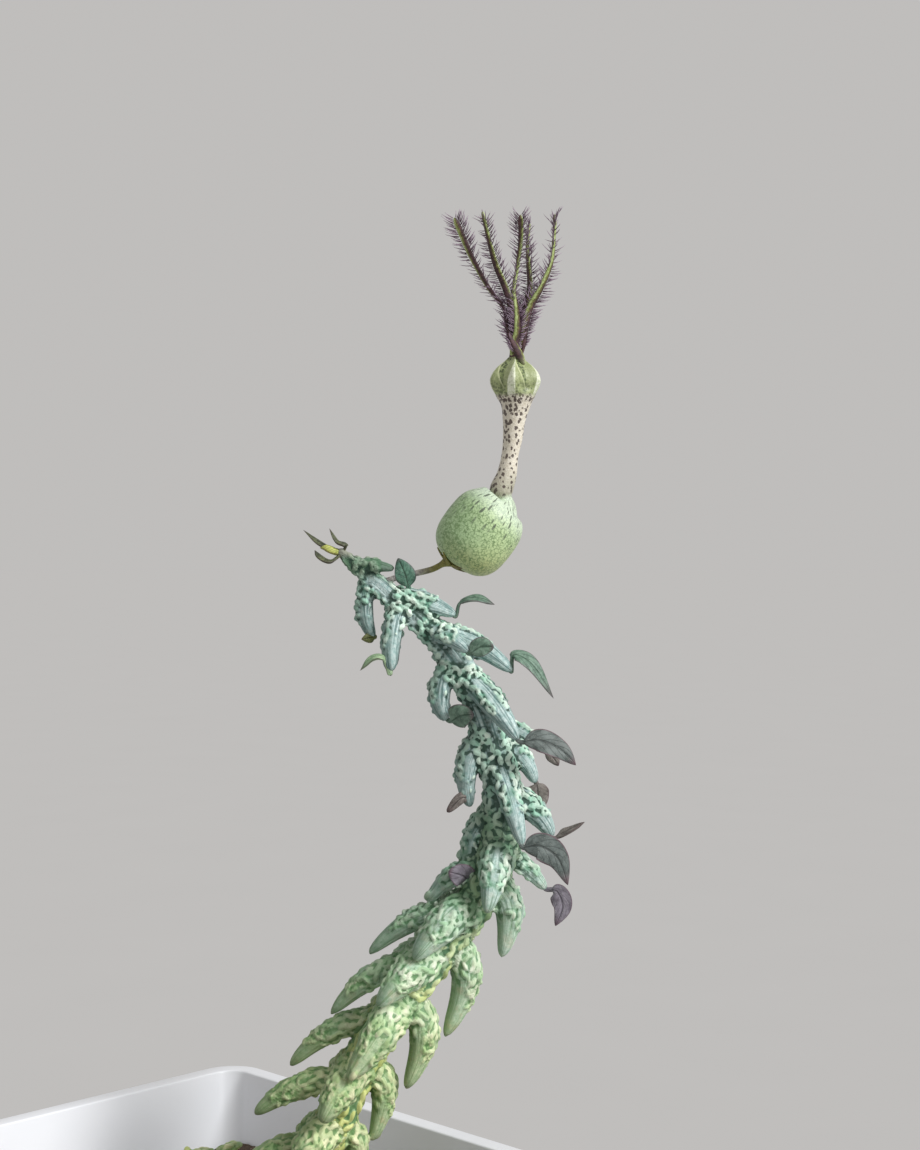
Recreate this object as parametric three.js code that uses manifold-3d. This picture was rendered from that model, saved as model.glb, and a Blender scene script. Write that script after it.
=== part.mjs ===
// Potted Ceropegia simoneae: a warty succulent stem with a lantern flower, in a square white pot.
// Millimetres, +Z up. The origin is the centre of the pot's underside, the pot's sides lie along
// X and Y. The plant is laid out in its own group, turned 45 degrees: there x runs across the
// plant's broad side, y runs in depth and z is height.

import * as THREE from 'three';
import { mergeVertices } from 'three/addons/utils/BufferGeometryUtils.js';
import Module from 'manifold-3d';

const wasm = await Module();
wasm.setup();

// Pot
const POT_HEIGHT = 80;
const POT_FOOT_SIDE = 66;
const POT_TOP_SIDE = 88;
const POT_LIP_SIDE = 90;
const POT_LIP_HEIGHT = 3;
const POT_CORNER = 6;
const POT_WALL = 1.8;
const POT_FLOOR = 2.5;
const POT_EDGE = 0.5;
const CORNER_STEPS = 5;
const DRAIN_RADIUS = 3.5;
const DRAIN_OFFSET = 18;

// Soil
const SOIL_TOP = 69;
const SOIL_ROUGHNESS = 0.5;
const SOIL_RINGS = 6;
const PEBBLE_COUNT = 26;
const PEBBLE_SMALL = 0.9;
const PEBBLE_LARGE = 2.4;
const PEBBLE_FLATNESS = [1, 0.85, 0.6];
const PEBBLE_SHOWING = 0.15;
const FOOT_ROOM = 3.6;

// Plant
const FIT_GAP = 0.3;
const HOLE_GAP = 0.6;
const PLANT_TURN = Math.PI / 4;
const PLANT_DEPTH = 14;
const FOOT_DEPTH = 15;
const STEM_SIDES = 8;
const STEM_STEPS = 28;

// The main stem's middle line, x and z, from the buried foot to the growing tip
const STEM_LINE = [
  [14.0, SOIL_TOP - FOOT_DEPTH], [14.0, 63], [14.4, 69.5], [16.4, 77], [19.1, 84.3], [23.3, 93.9],
  [27.7, 101.1], [32.9, 107.7], [37.3, 113.5], [40.6, 118.8], [42.3, 123.6], [42.7, 129.8],
  [41.9, 135], [40.6, 140.2], [38.7, 144.7], [35.9, 149.5], [32.6, 153.3], [29.2, 156.3],
  [26, 159.1], [23.5, 161.3], [21.6, 162.8], [19.9, 164.6],
];

// The stem's radius at these heights
const STEM_GIRTH = [
  [50, 2.5], [70, 2.6], [85, 2.7], [110, 2.8], [135, 2.6], [148, 2.2], [156, 1.8], [160, 1.4],
  [163, 0.9], [165, 0.45],
];

// The tubercles in opposite pairs up the stem: the height of the root, the tip (x, depth from
// the stem, z), the girth where it leaves the stem and the girth just before its tip. Some say how
// far the shoulder bulges, in girths, and how far it is lifted along the stem.
const SIDE_TUBERCLES = [
  { root: 84.5, tip: [21.6, -0.5, 75.4], girth: 3.0, end: 0.9, bulge: 1.1, lift: 4.5 },
  { root: 82, tip: [5.4, 0.5, 77.4], girth: 3.1, end: 0.9 },
  { root: 93, tip: [24.4, 0.8, 81.9], girth: 3.6, end: 1.1, bulge: 1.1, lift: 4.5 },
  { root: 91, tip: [8.2, -0.8, 86.2], girth: 3.3, end: 1.0 },
  { root: 101.5, tip: [29.1, -0.8, 89.6], girth: 4.1, end: 1.1, bulge: 1, lift: 6 },
  { root: 99.3, tip: [13, 0.6, 92.5], girth: 3.1, end: 0.9 },
  { root: 109.5, tip: [34.5, 0.6, 96.5], girth: 4.1, end: 1.1, bulge: 0.9, lift: 6 },
  { root: 107, tip: [18.8, -0.6, 100], girth: 3.3, end: 0.8 },
  { root: 118, tip: [42.4, -0.8, 107.9], girth: 4.0, end: 1.1, bulge: 0.8, lift: 4.4 },
  { root: 114.5, tip: [23.9, 0.4, 108.1], girth: 3.1, end: 0.8 },
  { root: 123, tip: [48.8, 1.2, 117], girth: 2.4, end: 1.0, bulge: 1 },
  { root: 120.5, tip: [32.2, -0.8, 115.6], girth: 2.8, end: 0.9 },
  { root: 130.8, tip: [49.6, -0.8, 124.6], girth: 3.4, end: 1.0, bulge: 0.9 },
  { root: 129, tip: [38, 0.8, 118.8], girth: 3.0, end: 1.2 },
  { root: 138.6, tip: [47.4, 1.4, 131.7], girth: 2.8, end: 1.1, bulge: 1 },
  { root: 139.5, tip: [38.3, -1.0, 128.7], girth: 3.6, end: 1.3 },
  { root: 140.5, tip: [48.8, 3.2, 136.2], girth: 2.0, end: 0.9 },
  { root: 149.2, tip: [35.1, -0.6, 140.7], girth: 3.0, end: 1.3 },
  { root: 152.6, tip: [44.3, 1.6, 147.2], girth: 2.6, end: 1.0, bulge: 0.9 },
  { root: 157.6, tip: [36.5, -0.6, 155.2], girth: 2.9, end: 0.9, bulge: 0.5 },
  { root: 160.4, tip: [25, 0.8, 151.9], girth: 2.4, end: 1.0 },
  { root: 162.3, tip: [28, -1.4, 161.7], girth: 1.7, end: 0.9, bulge: 0.3 },
];
const FACING_TUBERCLES = [
  { root: 85, tip: [13.6, -5.8, 78], girth: 4.0, end: 1.2, bulge: 1 },
  { root: 93.4, tip: [18, -6.0, 86.6], girth: 4.1, end: 1.4, bulge: 1 },
  { root: 102.6, tip: [21.5, -6.2, 92.5], girth: 4.4, end: 1.2, bulge: 1 },
  { root: 108.6, tip: [25.5, -6.2, 102.5], girth: 4.3, end: 1.0, bulge: 1 },
  { root: 115.2, tip: [30.4, -6.2, 108.8], girth: 4.3, end: 1.1, bulge: 1 },
  { root: 124, tip: [40.4, -6.0, 115], girth: 4.0, end: 1.0, bulge: 1 },
  { root: 136, tip: [45.3, -5.8, 124], girth: 4.8, end: 1.3, bulge: 1 },
  { root: 147, tip: [44.8, -5.4, 138.4], girth: 4.6, end: 1.4, bulge: 1 },
  { root: 154.2, tip: [38.2, -4.4, 150.4], girth: 3.0, end: 1.3, bulge: 1 },
  { root: 156.8, tip: [27.4, -3.8, 147.6], girth: 2.8, end: 1.5, bulge: 1 },
];
const TUBERCLE_SIDES = 8;
const TUBERCLE_STEPS = 6;
const TUBERCLE_BULGE = 1.4;
const SHOULDER_AT = 0.25;
const TAPER_FROM = 0.45;
const TAPER_TO = 1.2;
const TUBERCLE_SWELL = 1.15;
const TUBERCLE_BLUNTNESS = 0.6;
const TUBERCLE_FLATNESS = 0.8;
const WART_RISE = 0.75;
const LOWEST_WART_RISE = 0.34;
const WARTY_TUBERCLE = [0.1, 0.72];
const WARTY_STEM = [0.12, 0.93];
const SEED_STEM = 11;
const SEED_SHOOT = 23;
const SEED_SOIL = 5;
const SEED_CILIA = 31;

// Leaf blades at the tubercles' tips: midrib points (x, depth, z), broadest width, and the
// direction that the blade faces
const FACING = [0, -1, 0];
const UPWARD = [-0.25, -0.45, 1];
const LEAVES = [
  { midrib: [[28.3, -1.5, 163], [28.9, -1.6, 161.3], [29.8, -1.7, 159.1]], width: 2.9, face: FACING },
  { midrib: [[25.0, 0.8, 152.3], [24.3, 0.3, 152.2], [23.2, -0.2, 152]], width: 1.6, face: FACING },
  {
    midrib: [[36.2, -0.6, 155.1], [36.8, -0.7, 157], [39, -0.9, 157.6], [41.6, -1, 156.8]],
    width: 1.7, face: UPWARD,
  },
  {
    midrib: [[27.3, -3.8, 147.4], [26.4, -3.9, 149.6], [25, -4, 149.6], [23.2, -4, 147.9]],
    width: 1.8, face: UPWARD,
  },
  { midrib: [[38, -4.4, 150.3], [39.6, -4.9, 151.2], [41.4, -5, 151.2]], width: 2.6, face: FACING },
  {
    midrib: [[43.9, 1.6, 147.4], [44.2, 1.5, 149.6], [46.3, 1.3, 148.7], [49.8, 1, 143.7]],
    width: 2.3, face: [0.5, -0.7, 0.6],
  },
  { midrib: [[35.4, -0.9, 140.8], [36.8, -2.2, 141.6], [38.7, -3.2, 142]], width: 3.4, face: FACING },
  {
    midrib: [[44.9, -5.4, 138.4], [47.4, -5.6, 138.6], [50.2, -5.5, 137.4], [52.5, -5.3, 135.2]],
    width: 3.3, face: [0.2, -0.9, 0.4],
  },
  { midrib: [[48.6, 3.2, 136.2], [49.7, 3.4, 135.4], [50.6, 3.4, 134.1]], width: 1.7, face: FACING },
  { midrib: [[47.4, 1.3, 131.9], [47.6, 0.6, 130.4], [48.2, 0.1, 128.8]], width: 3, face: FACING },
  { midrib: [[38.3, -1.1, 129.6], [37.2, -1.9, 130.4], [35, -2.2, 128.4]], width: 1.5, face: FACING },
  {
    midrib: [[45.2, -5.8, 124.2], [47.5, -6.2, 124.4], [49.9, -6.1, 122.8], [51.4, -5.8, 119]],
    width: 3.7, face: [0.1, -0.95, 0.2],
  },
  { midrib: [[49.6, -0.8, 124.7], [51.6, -0.9, 125.5], [54, -1, 126.9]], width: 1.9, face: UPWARD },
  { midrib: [[38.1, 0.6, 119.2], [36.8, -1, 119.9], [35.3, -1.8, 119.2]], width: 3.4, face: FACING },
  {
    midrib: [[48.8, 1.2, 117.2], [50.8, 0.8, 116.7], [51.4, 0.6, 114.8], [49.8, 0.5, 112.3]],
    width: 2.5, face: FACING,
  },
  { midrib: [[20.3, 0.2, 164.2], [17.7, 0.6, 165], [15.1, 0.8, 167.1]], width: 1, face: UPWARD },
  {
    midrib: [[20.6, 0, 163.9], [21, -0.3, 164.9], [19.9, -0.4, 165.4], [18.8, -0.4, 167.3]],
    width: 1, face: UPWARD,
  },
  {
    midrib: [[20.3, -0.4, 163.6], [18.9, -0.9, 162.7], [17.4, -0.8, 163.4], [16.8, -0.7, 164.3]],
    width: 1, face: UPWARD,
  },
];
const LEAF_THICKNESS = 0.8;
const LEAF_STEPS = 5;
const LEAF_SIDES = 4;
const LEAF_STALK = 0.12;
const LEAF_FULLNESS = 0.8;
const LEAF_TIP = 0.28;
const BUD_PLACE = [18.5, 0, 164.5];
const BUD_RADIUS = 0.75;

// A short side shoot that creeps over the soil behind the main stem
const SHOOT_DEPTH = 25;
const SHOOT_LINE = [[15, 61], [15, 68], [14.3, 72], [11, 74.4], [6, 75.2], [1, 75.4], [-3.4, 76.6]];
const SHOOT_STEPS = 16;
const SHOOT_GIRTH = [[60, 1.9], [70, 1.9], [75, 1.8], [76, 1.5], [77, 1.0]];
const WARTY_SHOOT = [0.36, 0.95];
const SHOOT_PAIRS = 5;
const SHOOT_BARE_PART = 0.42;
const SHOOT_LEAFY_PART = 0.5;
const SHOOT_TUBERCLE = { back: 3.6, reach: 3.4, shoulder: 2.6, root: 1.25, end: 0.35, steps: 5, sides: 6 };
const CLEAR_OF_SOIL = 1.8;

// Flower: stalk, calyx, the corolla's profile (distance along its axis, radius) and its axis
const FLOWER_DEPTH = 1.5;
const STALK_LINE = [[26.2, 0.3, 159.9], [28.4, 1.3, 160.9], [30.9, 1.5, 161.4], [33.3, 1.5, 161.9]];
const STALK_RADIUS = 0.42;
const STALK_STEPS = 14;
const STALK_SIDES = 8;
const CALYX_LENGTH = 2.6;
const CALYX_RADIUS = 1.35;
const SEPAL_COUNT = 5;
const SEPAL_WIDTH = 1.1;
const SEPAL_TIP = 0.14;
const SEPAL_THICKNESS = [0.5, 0.3];
const SEPAL_COURSE = [[-0.4, 0.7], [0.2, 2.6], [1.5, 3.9]];
const SEPAL_TURN = 0.3;
const SEPAL_STEPS = 4;
const BARREL_BASE = [36, 162.2];
const BARREL_TOP = [42.9, 171.3];
const BARREL_RADIUS = 5.35;
const BARREL_STEPS = 9;
const BARREL_SQUARENESS = 3;
const BARREL_ROUNDNESS = 0.4;
const TUBE_LINE = [[42.5, 172.4], [43.3, 174.8], [43.7, 177.3], [44.1, 179.8], [44.3, 182.4]];
const TUBE_RADII = [1.6, 1.38, 1.17, 1.35, 1.6];
const CAGE_AXIS_X = 44.5;
const CAGE_PROFILE = [
  [184.3, 2.1], [185.4, 2.6], [186.6, 3.4], [187.6, 3.75], [188.6, 3.4], [189.6, 2.4], [190.6, 1.4],
  [191.3, 0.9],
];
const KEEL_COUNT = 5;
const KEEL_DEPTH = 0.24;
const KEELS_FROM = 186;
const COROLLA_SIDES = 20;

// Antennae: the five long tips of the corolla, in points (x, depth from the flower, z)
const ANTENNAE = [
  [[44.2, 0.1, 191.4], [43.6, -0.5, 194.7], [43.2, -0.8, 197.1], [40.6, -1.4, 200.6],
    [38.3, -2, 204.7], [37.1, -2.2, 207.4], [36, -2.2, 209.9]],
  [[44.1, 0.3, 191.4], [43.4, 0.6, 195.2], [43.8, 0.9, 198.1], [43.2, 2, 200.4],
    [41.7, 3.4, 204.2], [40.6, 4.4, 208.5], [39.9, 4.8, 211.6]],
  [[44.9, -0.3, 191.4], [45, -0.8, 194.7], [44.7, -1.2, 197.2], [44.4, -2.3, 200],
    [45, -3.6, 203.4], [45.4, -4.7, 207.1], [45.2, -5.3, 210.6]],
  [[44.6, 0.5, 191.4], [45, 0.9, 194.7], [45.3, 1.3, 197.2], [46.3, 2.5, 200.6],
    [45.9, 3.9, 204.4], [45.7, 5.1, 207.4], [46, 5.7, 210.6]],
  [[45.2, 0, 191.4], [45.8, 0, 194.7], [46.4, 0, 197.6], [48, -0.2, 200.6],
    [49.4, -0.3, 204], [49.8, -0.4, 207.8], [49.9, -0.4, 210.7]],
];
const ANTENNA_HALF_WIDTH = 0.52;
const ANTENNA_HALF_THICKNESS = 0.32;
const ANTENNA_SIDES = 6;
const ANTENNA_STEPS = 12;
const CILIA_PER_ANTENNA = 20;
const CILIA_FROM = 0.16;
const CILIA_TO = 0.99;
const CILIUM_LENGTH = 2;
const CILIUM_RADIUS = 0.17;
const CILIUM_TURN = 2.4;
const CILIUM_LEAN = 0.25;
const COLLAR = { top: 0.75, bottom: 1.0, height: 3.2, middle: 192.4 };

// A repeatable stream of random numbers between 0 and 1
function seededRandom(seed) {
  let state = seed;
  return () => {
    state = (state + 0x6d2b79f5) | 0;
    let mixed = Math.imul(state ^ (state >>> 15), 1 | state);
    mixed = (mixed + Math.imul(mixed ^ (mixed >>> 7), 61 | mixed)) ^ mixed;
    return ((mixed ^ (mixed >>> 14)) >>> 0) / 4294967296;
  };
}

// Turns a closed geometry into a solid that can be joined and cut
function toSolid(geometry) {
  const bare = geometry.clone();
  bare.deleteAttribute('normal');
  bare.deleteAttribute('uv');
  const merged = mergeVertices(bare, 1e-4);
  return new wasm.Manifold(new wasm.Mesh({
    numProp: 3,
    vertProperties: new Float32Array(merged.attributes.position.array),
    triVerts: new Uint32Array(merged.index.array),
  }));
}

function joinAll(solids) {
  return solids.reduce((whole, solid) => whole.add(solid));
}

// Leaves out crumbs that a cut has parted from the body
function withoutCrumbs(solid) {
  return solid.decompose().reduce((largest, body) => (body.volume() > largest.volume() ? body : largest));
}

function toMesh(name, solid, colour, roughness) {
  const { vertProperties, triVerts } = solid.getMesh();
  const geometry = new THREE.BufferGeometry();
  geometry.setAttribute('position', new THREE.BufferAttribute(new Float32Array(vertProperties), 3));
  geometry.setIndex(new THREE.BufferAttribute(new Uint32Array(triVerts), 1));
  geometry.computeVertexNormals();
  const material = new THREE.MeshStandardMaterial({ color: colour, roughness, metalness: 0 });
  const mesh = new THREE.Mesh(geometry, material);
  mesh.name = name;
  return mesh;
}

// A closed skin over rings of points. Each ring runs anticlockwise, seen from the last ring.
function loft(rings) {
  const sides = rings[0].length;
  const middle = (ring) => ring.reduce((sum, p) => sum.add(p), new THREE.Vector3()).divideScalar(sides);
  const points = [...rings.flat(), middle(rings[0]), middle(rings.at(-1))];
  const first = rings.length * sides;
  const index = [];
  for (let side = 0; side < sides; side += 1) {
    const next = (side + 1) % sides;
    for (let ring = 0; ring < rings.length - 1; ring += 1) {
      const low = ring * sides;
      const high = low + sides;
      index.push(low + side, low + next, high + next, low + side, high + next, high + side);
    }
    const top = (rings.length - 1) * sides;
    index.push(first, next, side, first + 1, top + side, top + next);
  }
  const geometry = new THREE.BufferGeometry().setFromPoints(points);
  geometry.setIndex(index);
  return geometry;
}

// Within a part of the length every second point of the skin stands up as a wart
function wartLift([from, to], random) {
  return (t, step, side) => {
    const height = THREE.MathUtils.lerp(LOWEST_WART_RISE, WART_RISE, random());
    return t > from && t < to && (step + side) % 2 ? height : 0;
  };
}

// Rings along a curve. halfWidth and halfThickness are functions of the way along it, face is
// the direction of the thickness, and lift raises single points of the skin.
function sweepRings(curve, steps, sides, halfWidth, halfThickness, face, lift = () => 0) {
  const rings = [];
  for (let step = 0; step <= steps; step += 1) {
    const t = step / steps;
    const centre = curve.getPoint(t);
    const along = curve.getTangent(t);
    const across = new THREE.Vector3().crossVectors(face, along).normalize();
    const out = new THREE.Vector3().crossVectors(along, across);
    const ring = [];
    for (let side = 0; side < sides; side += 1) {
      const angle = (2 * Math.PI * side) / sides;
      const rise = lift(t, step, side);
      const x = Math.cos(angle) * (halfWidth(t) + rise);
      const y = Math.sin(angle) * (halfThickness(t) + rise);
      ring.push(centre.clone().addScaledVector(across, x).addScaledVector(out, y));
    }
    rings.push(ring);
  }
  return rings;
}

// Straight-line interpolation in a list of pairs
function lookUp(pairs, value) {
  const index = pairs.findIndex(([place]) => place >= value);
  if (index === 0) return pairs[0][1];
  if (index < 0) return pairs.at(-1)[1];
  const [x0, y0] = pairs[index - 1];
  const [x1, y1] = pairs[index];
  return THREE.MathUtils.mapLinear(value, x0, x1, y0, y1);
}

// A square with round corners, seen from above, at a height
function roundedSquare(side, corner, height) {
  const points = [];
  const straight = side / 2 - corner;
  for (let quarter = 0; quarter < 4; quarter += 1) {
    const start = (quarter * Math.PI) / 2;
    const centreAngle = start + Math.PI / 4;
    const cx = Math.sign(Math.cos(centreAngle)) * straight;
    const cy = Math.sign(Math.sin(centreAngle)) * straight;
    for (let step = 0; step <= CORNER_STEPS; step += 1) {
      const angle = start + (step / CORNER_STEPS) * (Math.PI / 2);
      points.push(new THREE.Vector3(cx + corner * Math.cos(angle), cy + corner * Math.sin(angle), height));
    }
  }
  return points;
}

const wallSideAt = (z) => THREE.MathUtils.mapLinear(z, 0, POT_HEIGHT, POT_FOOT_SIDE, POT_TOP_SIDE);
const innerSideAt = (z) => wallSideAt(z) - 2 * POT_WALL;

function makePot() {
  const lipStart = POT_HEIGHT - POT_LIP_HEIGHT;
  const innerCorner = POT_CORNER - POT_WALL;
  const shell = toSolid(loft([
    roundedSquare(POT_FOOT_SIDE - 2 * POT_EDGE, POT_CORNER, 0),
    roundedSquare(wallSideAt(POT_EDGE), POT_CORNER, POT_EDGE),
    roundedSquare(wallSideAt(lipStart), POT_CORNER, lipStart),
    roundedSquare(POT_LIP_SIDE, POT_CORNER, lipStart + POT_EDGE),
    roundedSquare(POT_LIP_SIDE, POT_CORNER, POT_HEIGHT - POT_EDGE),
    roundedSquare(POT_LIP_SIDE - 2 * POT_EDGE, POT_CORNER - POT_EDGE, POT_HEIGHT),
    roundedSquare(innerSideAt(POT_HEIGHT) + POT_EDGE, innerCorner, POT_HEIGHT),
    roundedSquare(innerSideAt(POT_HEIGHT), innerCorner, POT_HEIGHT - POT_EDGE),
    roundedSquare(innerSideAt(POT_FLOOR), innerCorner, POT_FLOOR),
  ]));
  const drains = [];
  for (const x of [-DRAIN_OFFSET, DRAIN_OFFSET]) {
    for (const y of [-DRAIN_OFFSET, DRAIN_OFFSET]) {
      const hole = new THREE.CylinderGeometry(DRAIN_RADIUS, DRAIN_RADIUS, 4 * POT_FLOOR, 12);
      hole.rotateX(Math.PI / 2);
      hole.translate(x, y, 0);
      drains.push(toSolid(hole));
    }
  }
  return shell.subtract(joinAll(drains));
}

// The plant's own axes turned into the pot's
function turned(geometry) {
  return geometry.clone().rotateZ(PLANT_TURN);
}

const stemCurve = new THREE.CatmullRomCurve3(
  STEM_LINE.map(([x, z]) => new THREE.Vector3(x, PLANT_DEPTH, z)),
);
const shootCurve = new THREE.CatmullRomCurve3(
  SHOOT_LINE.map(([x, z]) => new THREE.Vector3(x, SHOOT_DEPTH, z)),
);
const IN_DEPTH = new THREE.Vector3(0, 1, 0);

// The way along a rising curve at which it reaches a height
function wayAtHeight(curve, height) {
  let low = 0;
  let high = 1;
  for (let round = 0; round < 24; round += 1) {
    const half = (low + high) / 2;
    if (curve.getPoint(half).z < height) low = half;
    else high = half;
  }
  return (low + high) / 2;
}

// A stem without its tubercles: smooth, unless it is given a lift for its warts
function coreSkin(curve, girth, steps, extra, lift) {
  const radius = (t) => lookUp(girth, curve.getPoint(t).z) + extra;
  return loft(sweepRings(curve, steps, STEM_SIDES, radius, radius, IN_DEPTH, lift));
}

// The middle line and the two half breadths of a tubercle. It grows out of the stem at its root
// and bends down to its free tip.
function tubercleForm(curve, depth, tubercle) {
  const way = wayAtHeight(curve, tubercle.root);
  const axisPoint = curve.getPoint(way);
  const growth = curve.getTangent(way);
  const tip = new THREE.Vector3(tubercle.tip[0], depth + tubercle.tip[1], tubercle.tip[2]);
  const reach = tip.clone().sub(axisPoint);
  const outward = reach.clone().addScaledVector(growth, -reach.dot(growth)).normalize();
  const bulge = (tubercle.bulge ?? TUBERCLE_BULGE) * tubercle.girth;
  const shoulder = axisPoint.clone().lerp(tip, SHOULDER_AT)
    .addScaledVector(outward, bulge)
    .addScaledVector(growth, tubercle.lift ?? 0);
  const face = shoulder.clone().sub(axisPoint);
  face.addScaledVector(reach, -face.dot(reach) / reach.lengthSq()).normalize();
  const broad = (t) => {
    const narrowing = THREE.MathUtils.smoothstep(t, TAPER_FROM, TAPER_TO);
    const girth = THREE.MathUtils.lerp(TUBERCLE_SWELL * tubercle.girth, tubercle.end, narrowing);
    return 0.5 * girth * (t === 1 ? TUBERCLE_BLUNTNESS : 1);
  };
  const thick = (t) => broad(t) * THREE.MathUtils.lerp(TUBERCLE_FLATNESS, 1, t);
  return { path: new THREE.QuadraticBezierCurve3(axisPoint, shoulder, tip), broad, thick, face };
}

// The upper part of a tubercle is warty and its tip is smooth
function tubercleSolid({ path, broad, thick, face }, random) {
  const lift = wartLift(WARTY_TUBERCLE, random);
  return toSolid(loft(sweepRings(path, TUBERCLE_STEPS, TUBERCLE_SIDES, broad, thick, face, lift)));
}

// A flat leaf blade, thick at its midrib and drawn out to a point
function leafSolid({ midrib, width, face }, depth) {
  const curve = new THREE.CatmullRomCurve3(midrib.map(([x, y, z]) => new THREE.Vector3(x, depth + y, z)));
  const halfWidth = (t) => {
    const phase = THREE.MathUtils.lerp(LEAF_STALK, 1, t ** LEAF_FULLNESS);
    return Math.max(LEAF_TIP, 0.5 * width * Math.sin(Math.PI * phase));
  };
  const halfThickness = (t) => (t === 1 ? LEAF_TIP : 0.5 * LEAF_THICKNESS);
  const facing = new THREE.Vector3(...face).normalize();
  return toSolid(loft(sweepRings(curve, LEAF_STEPS, LEAF_SIDES, halfWidth, halfThickness, facing)));
}

function budSolid() {
  const bud = new THREE.OctahedronGeometry(BUD_RADIUS, 1);
  bud.translate(BUD_PLACE[0], PLANT_DEPTH + BUD_PLACE[1], BUD_PLACE[2]);
  return toSolid(bud);
}

// The tubercles that face the viewer, with their like on the far side of the stem
function facingPairs() {
  return FACING_TUBERCLES.flatMap((tubercle) => {
    const [x, y, z] = tubercle.tip;
    return [tubercle, { ...tubercle, tip: [x, -y, z] }];
  });
}

function makeStem() {
  const random = seededRandom(SEED_STEM);
  const tubercles = [...SIDE_TUBERCLES, ...facingPairs()];
  const lift = wartLift(WARTY_STEM, random);
  const parts = [toSolid(coreSkin(stemCurve, STEM_GIRTH, STEM_STEPS, 0, lift))];
  for (const tubercle of tubercles) {
    parts.push(tubercleSolid(tubercleForm(stemCurve, PLANT_DEPTH, tubercle), random));
  }
  for (const leaf of LEAVES) parts.push(leafSolid(leaf, PLANT_DEPTH));
  parts.push(budSolid());
  return joinAll(parts);
}

// The side shoot carries its small tubercles in crossed pairs along the creeping part. Those that
// would reach into the soil are left out.
function makeShoot() {
  const random = seededRandom(SEED_SHOOT);
  const lift = wartLift(WARTY_SHOOT, random);
  const parts = [toSolid(coreSkin(shootCurve, SHOOT_GIRTH, SHOOT_STEPS, 0, lift))];
  const { back, reach, shoulder, root, end, steps, sides } = SHOOT_TUBERCLE;
  const half = (t) => THREE.MathUtils.lerp(root, end, t * t);
  for (let pair = 0; pair < SHOOT_PAIRS; pair += 1) {
    const t = SHOOT_BARE_PART + (SHOOT_LEAFY_PART * pair) / (SHOOT_PAIRS - 1);
    const place = shootCurve.getPoint(t);
    const growth = shootCurve.getTangent(t);
    const across = pair % 2 ? new THREE.Vector3(0, 0.25, 0.97) : new THREE.Vector3(0, 1, 0);
    for (const side of [1, -1]) {
      const aside = across.clone().multiplyScalar(side).add(new THREE.Vector3(0, 0, 0.25)).normalize();
      const tip = place.clone().addScaledVector(growth, -back).addScaledVector(aside, reach);
      const bend = place.clone().addScaledVector(aside, shoulder);
      const path = new THREE.QuadraticBezierCurve3(place, bend, tip);
      if (tip.z > SOIL_TOP + CLEAR_OF_SOIL) {
        const warts = wartLift(WARTY_TUBERCLE, random);
        parts.push(toSolid(loft(sweepRings(path, steps, sides, half, half, aside, warts))));
      }
    }
  }
  return joinAll(parts);
}

function barrelPoint(t) {
  const [x0, z0] = BARREL_BASE;
  const [x1, z1] = BARREL_TOP;
  return new THREE.Vector3(
    THREE.MathUtils.lerp(x0, x1, t), PLANT_DEPTH + FLOWER_DEPTH, THREE.MathUtils.lerp(z0, z1, t),
  );
}

// The corolla's middle line and its radius there: the swollen barrel, the narrow tube, the cage
function corollaStations() {
  const depth = PLANT_DEPTH + FLOWER_DEPTH;
  const stations = [];
  for (let step = 0; step <= BARREL_STEPS; step += 1) {
    const t = 0.5 - 0.5 * Math.cos((Math.PI * (step + 0.4)) / (BARREL_STEPS + 0.8));
    const bulge = (1 - Math.abs(2 * t - 1) ** BARREL_SQUARENESS) ** BARREL_ROUNDNESS;
    stations.push({ centre: barrelPoint(t), radius: BARREL_RADIUS * bulge, keel: 0 });
  }
  TUBE_LINE.forEach(([x, z], i) => {
    stations.push({ centre: new THREE.Vector3(x, depth, z), radius: TUBE_RADII[i], keel: 0 });
  });
  for (const [z, radius] of CAGE_PROFILE) {
    const keel = z > KEELS_FROM ? KEEL_DEPTH : 0;
    stations.push({ centre: new THREE.Vector3(CAGE_AXIS_X, depth, z), radius, keel });
  }
  return stations;
}

// The corolla in one skin, with the cage's five keels standing out of its closed panels. A gap
// above zero gives the slightly larger form that its neighbours are cut back from.
function corollaSolid(gap) {
  const stations = corollaStations();
  const rings = stations.map(({ centre, radius, keel }, i) => {
    const before = stations[Math.max(0, i - 1)].centre;
    const after = stations[Math.min(stations.length - 1, i + 1)].centre;
    const along = after.clone().sub(before).normalize();
    const across = new THREE.Vector3().crossVectors(IN_DEPTH, along).normalize();
    const ring = [];
    for (let side = 0; side < COROLLA_SIDES; side += 1) {
      const turn = (2 * Math.PI * side) / COROLLA_SIDES;
      const groove = keel * (0.5 - 0.5 * Math.cos(KEEL_COUNT * turn));
      const r = radius * (1 - groove) + gap;
      ring.push(centre.clone()
        .addScaledVector(across, r * Math.sin(turn))
        .addScaledVector(IN_DEPTH, -r * Math.cos(turn)));
    }
    return ring;
  });
  if (gap > 0) {
    const capped = (ring, centre, shift) => ring.map((p) => p.clone().lerp(centre, 0.4).add(shift));
    const along = barrelPoint(1).sub(barrelPoint(0)).normalize();
    rings.unshift(capped(rings[0], stations[0].centre, along.multiplyScalar(-gap)));
    rings.push(capped(rings.at(-1), stations.at(-1).centre, new THREE.Vector3(0, 0, gap)));
  }
  return toSolid(loft(rings));
}

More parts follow.
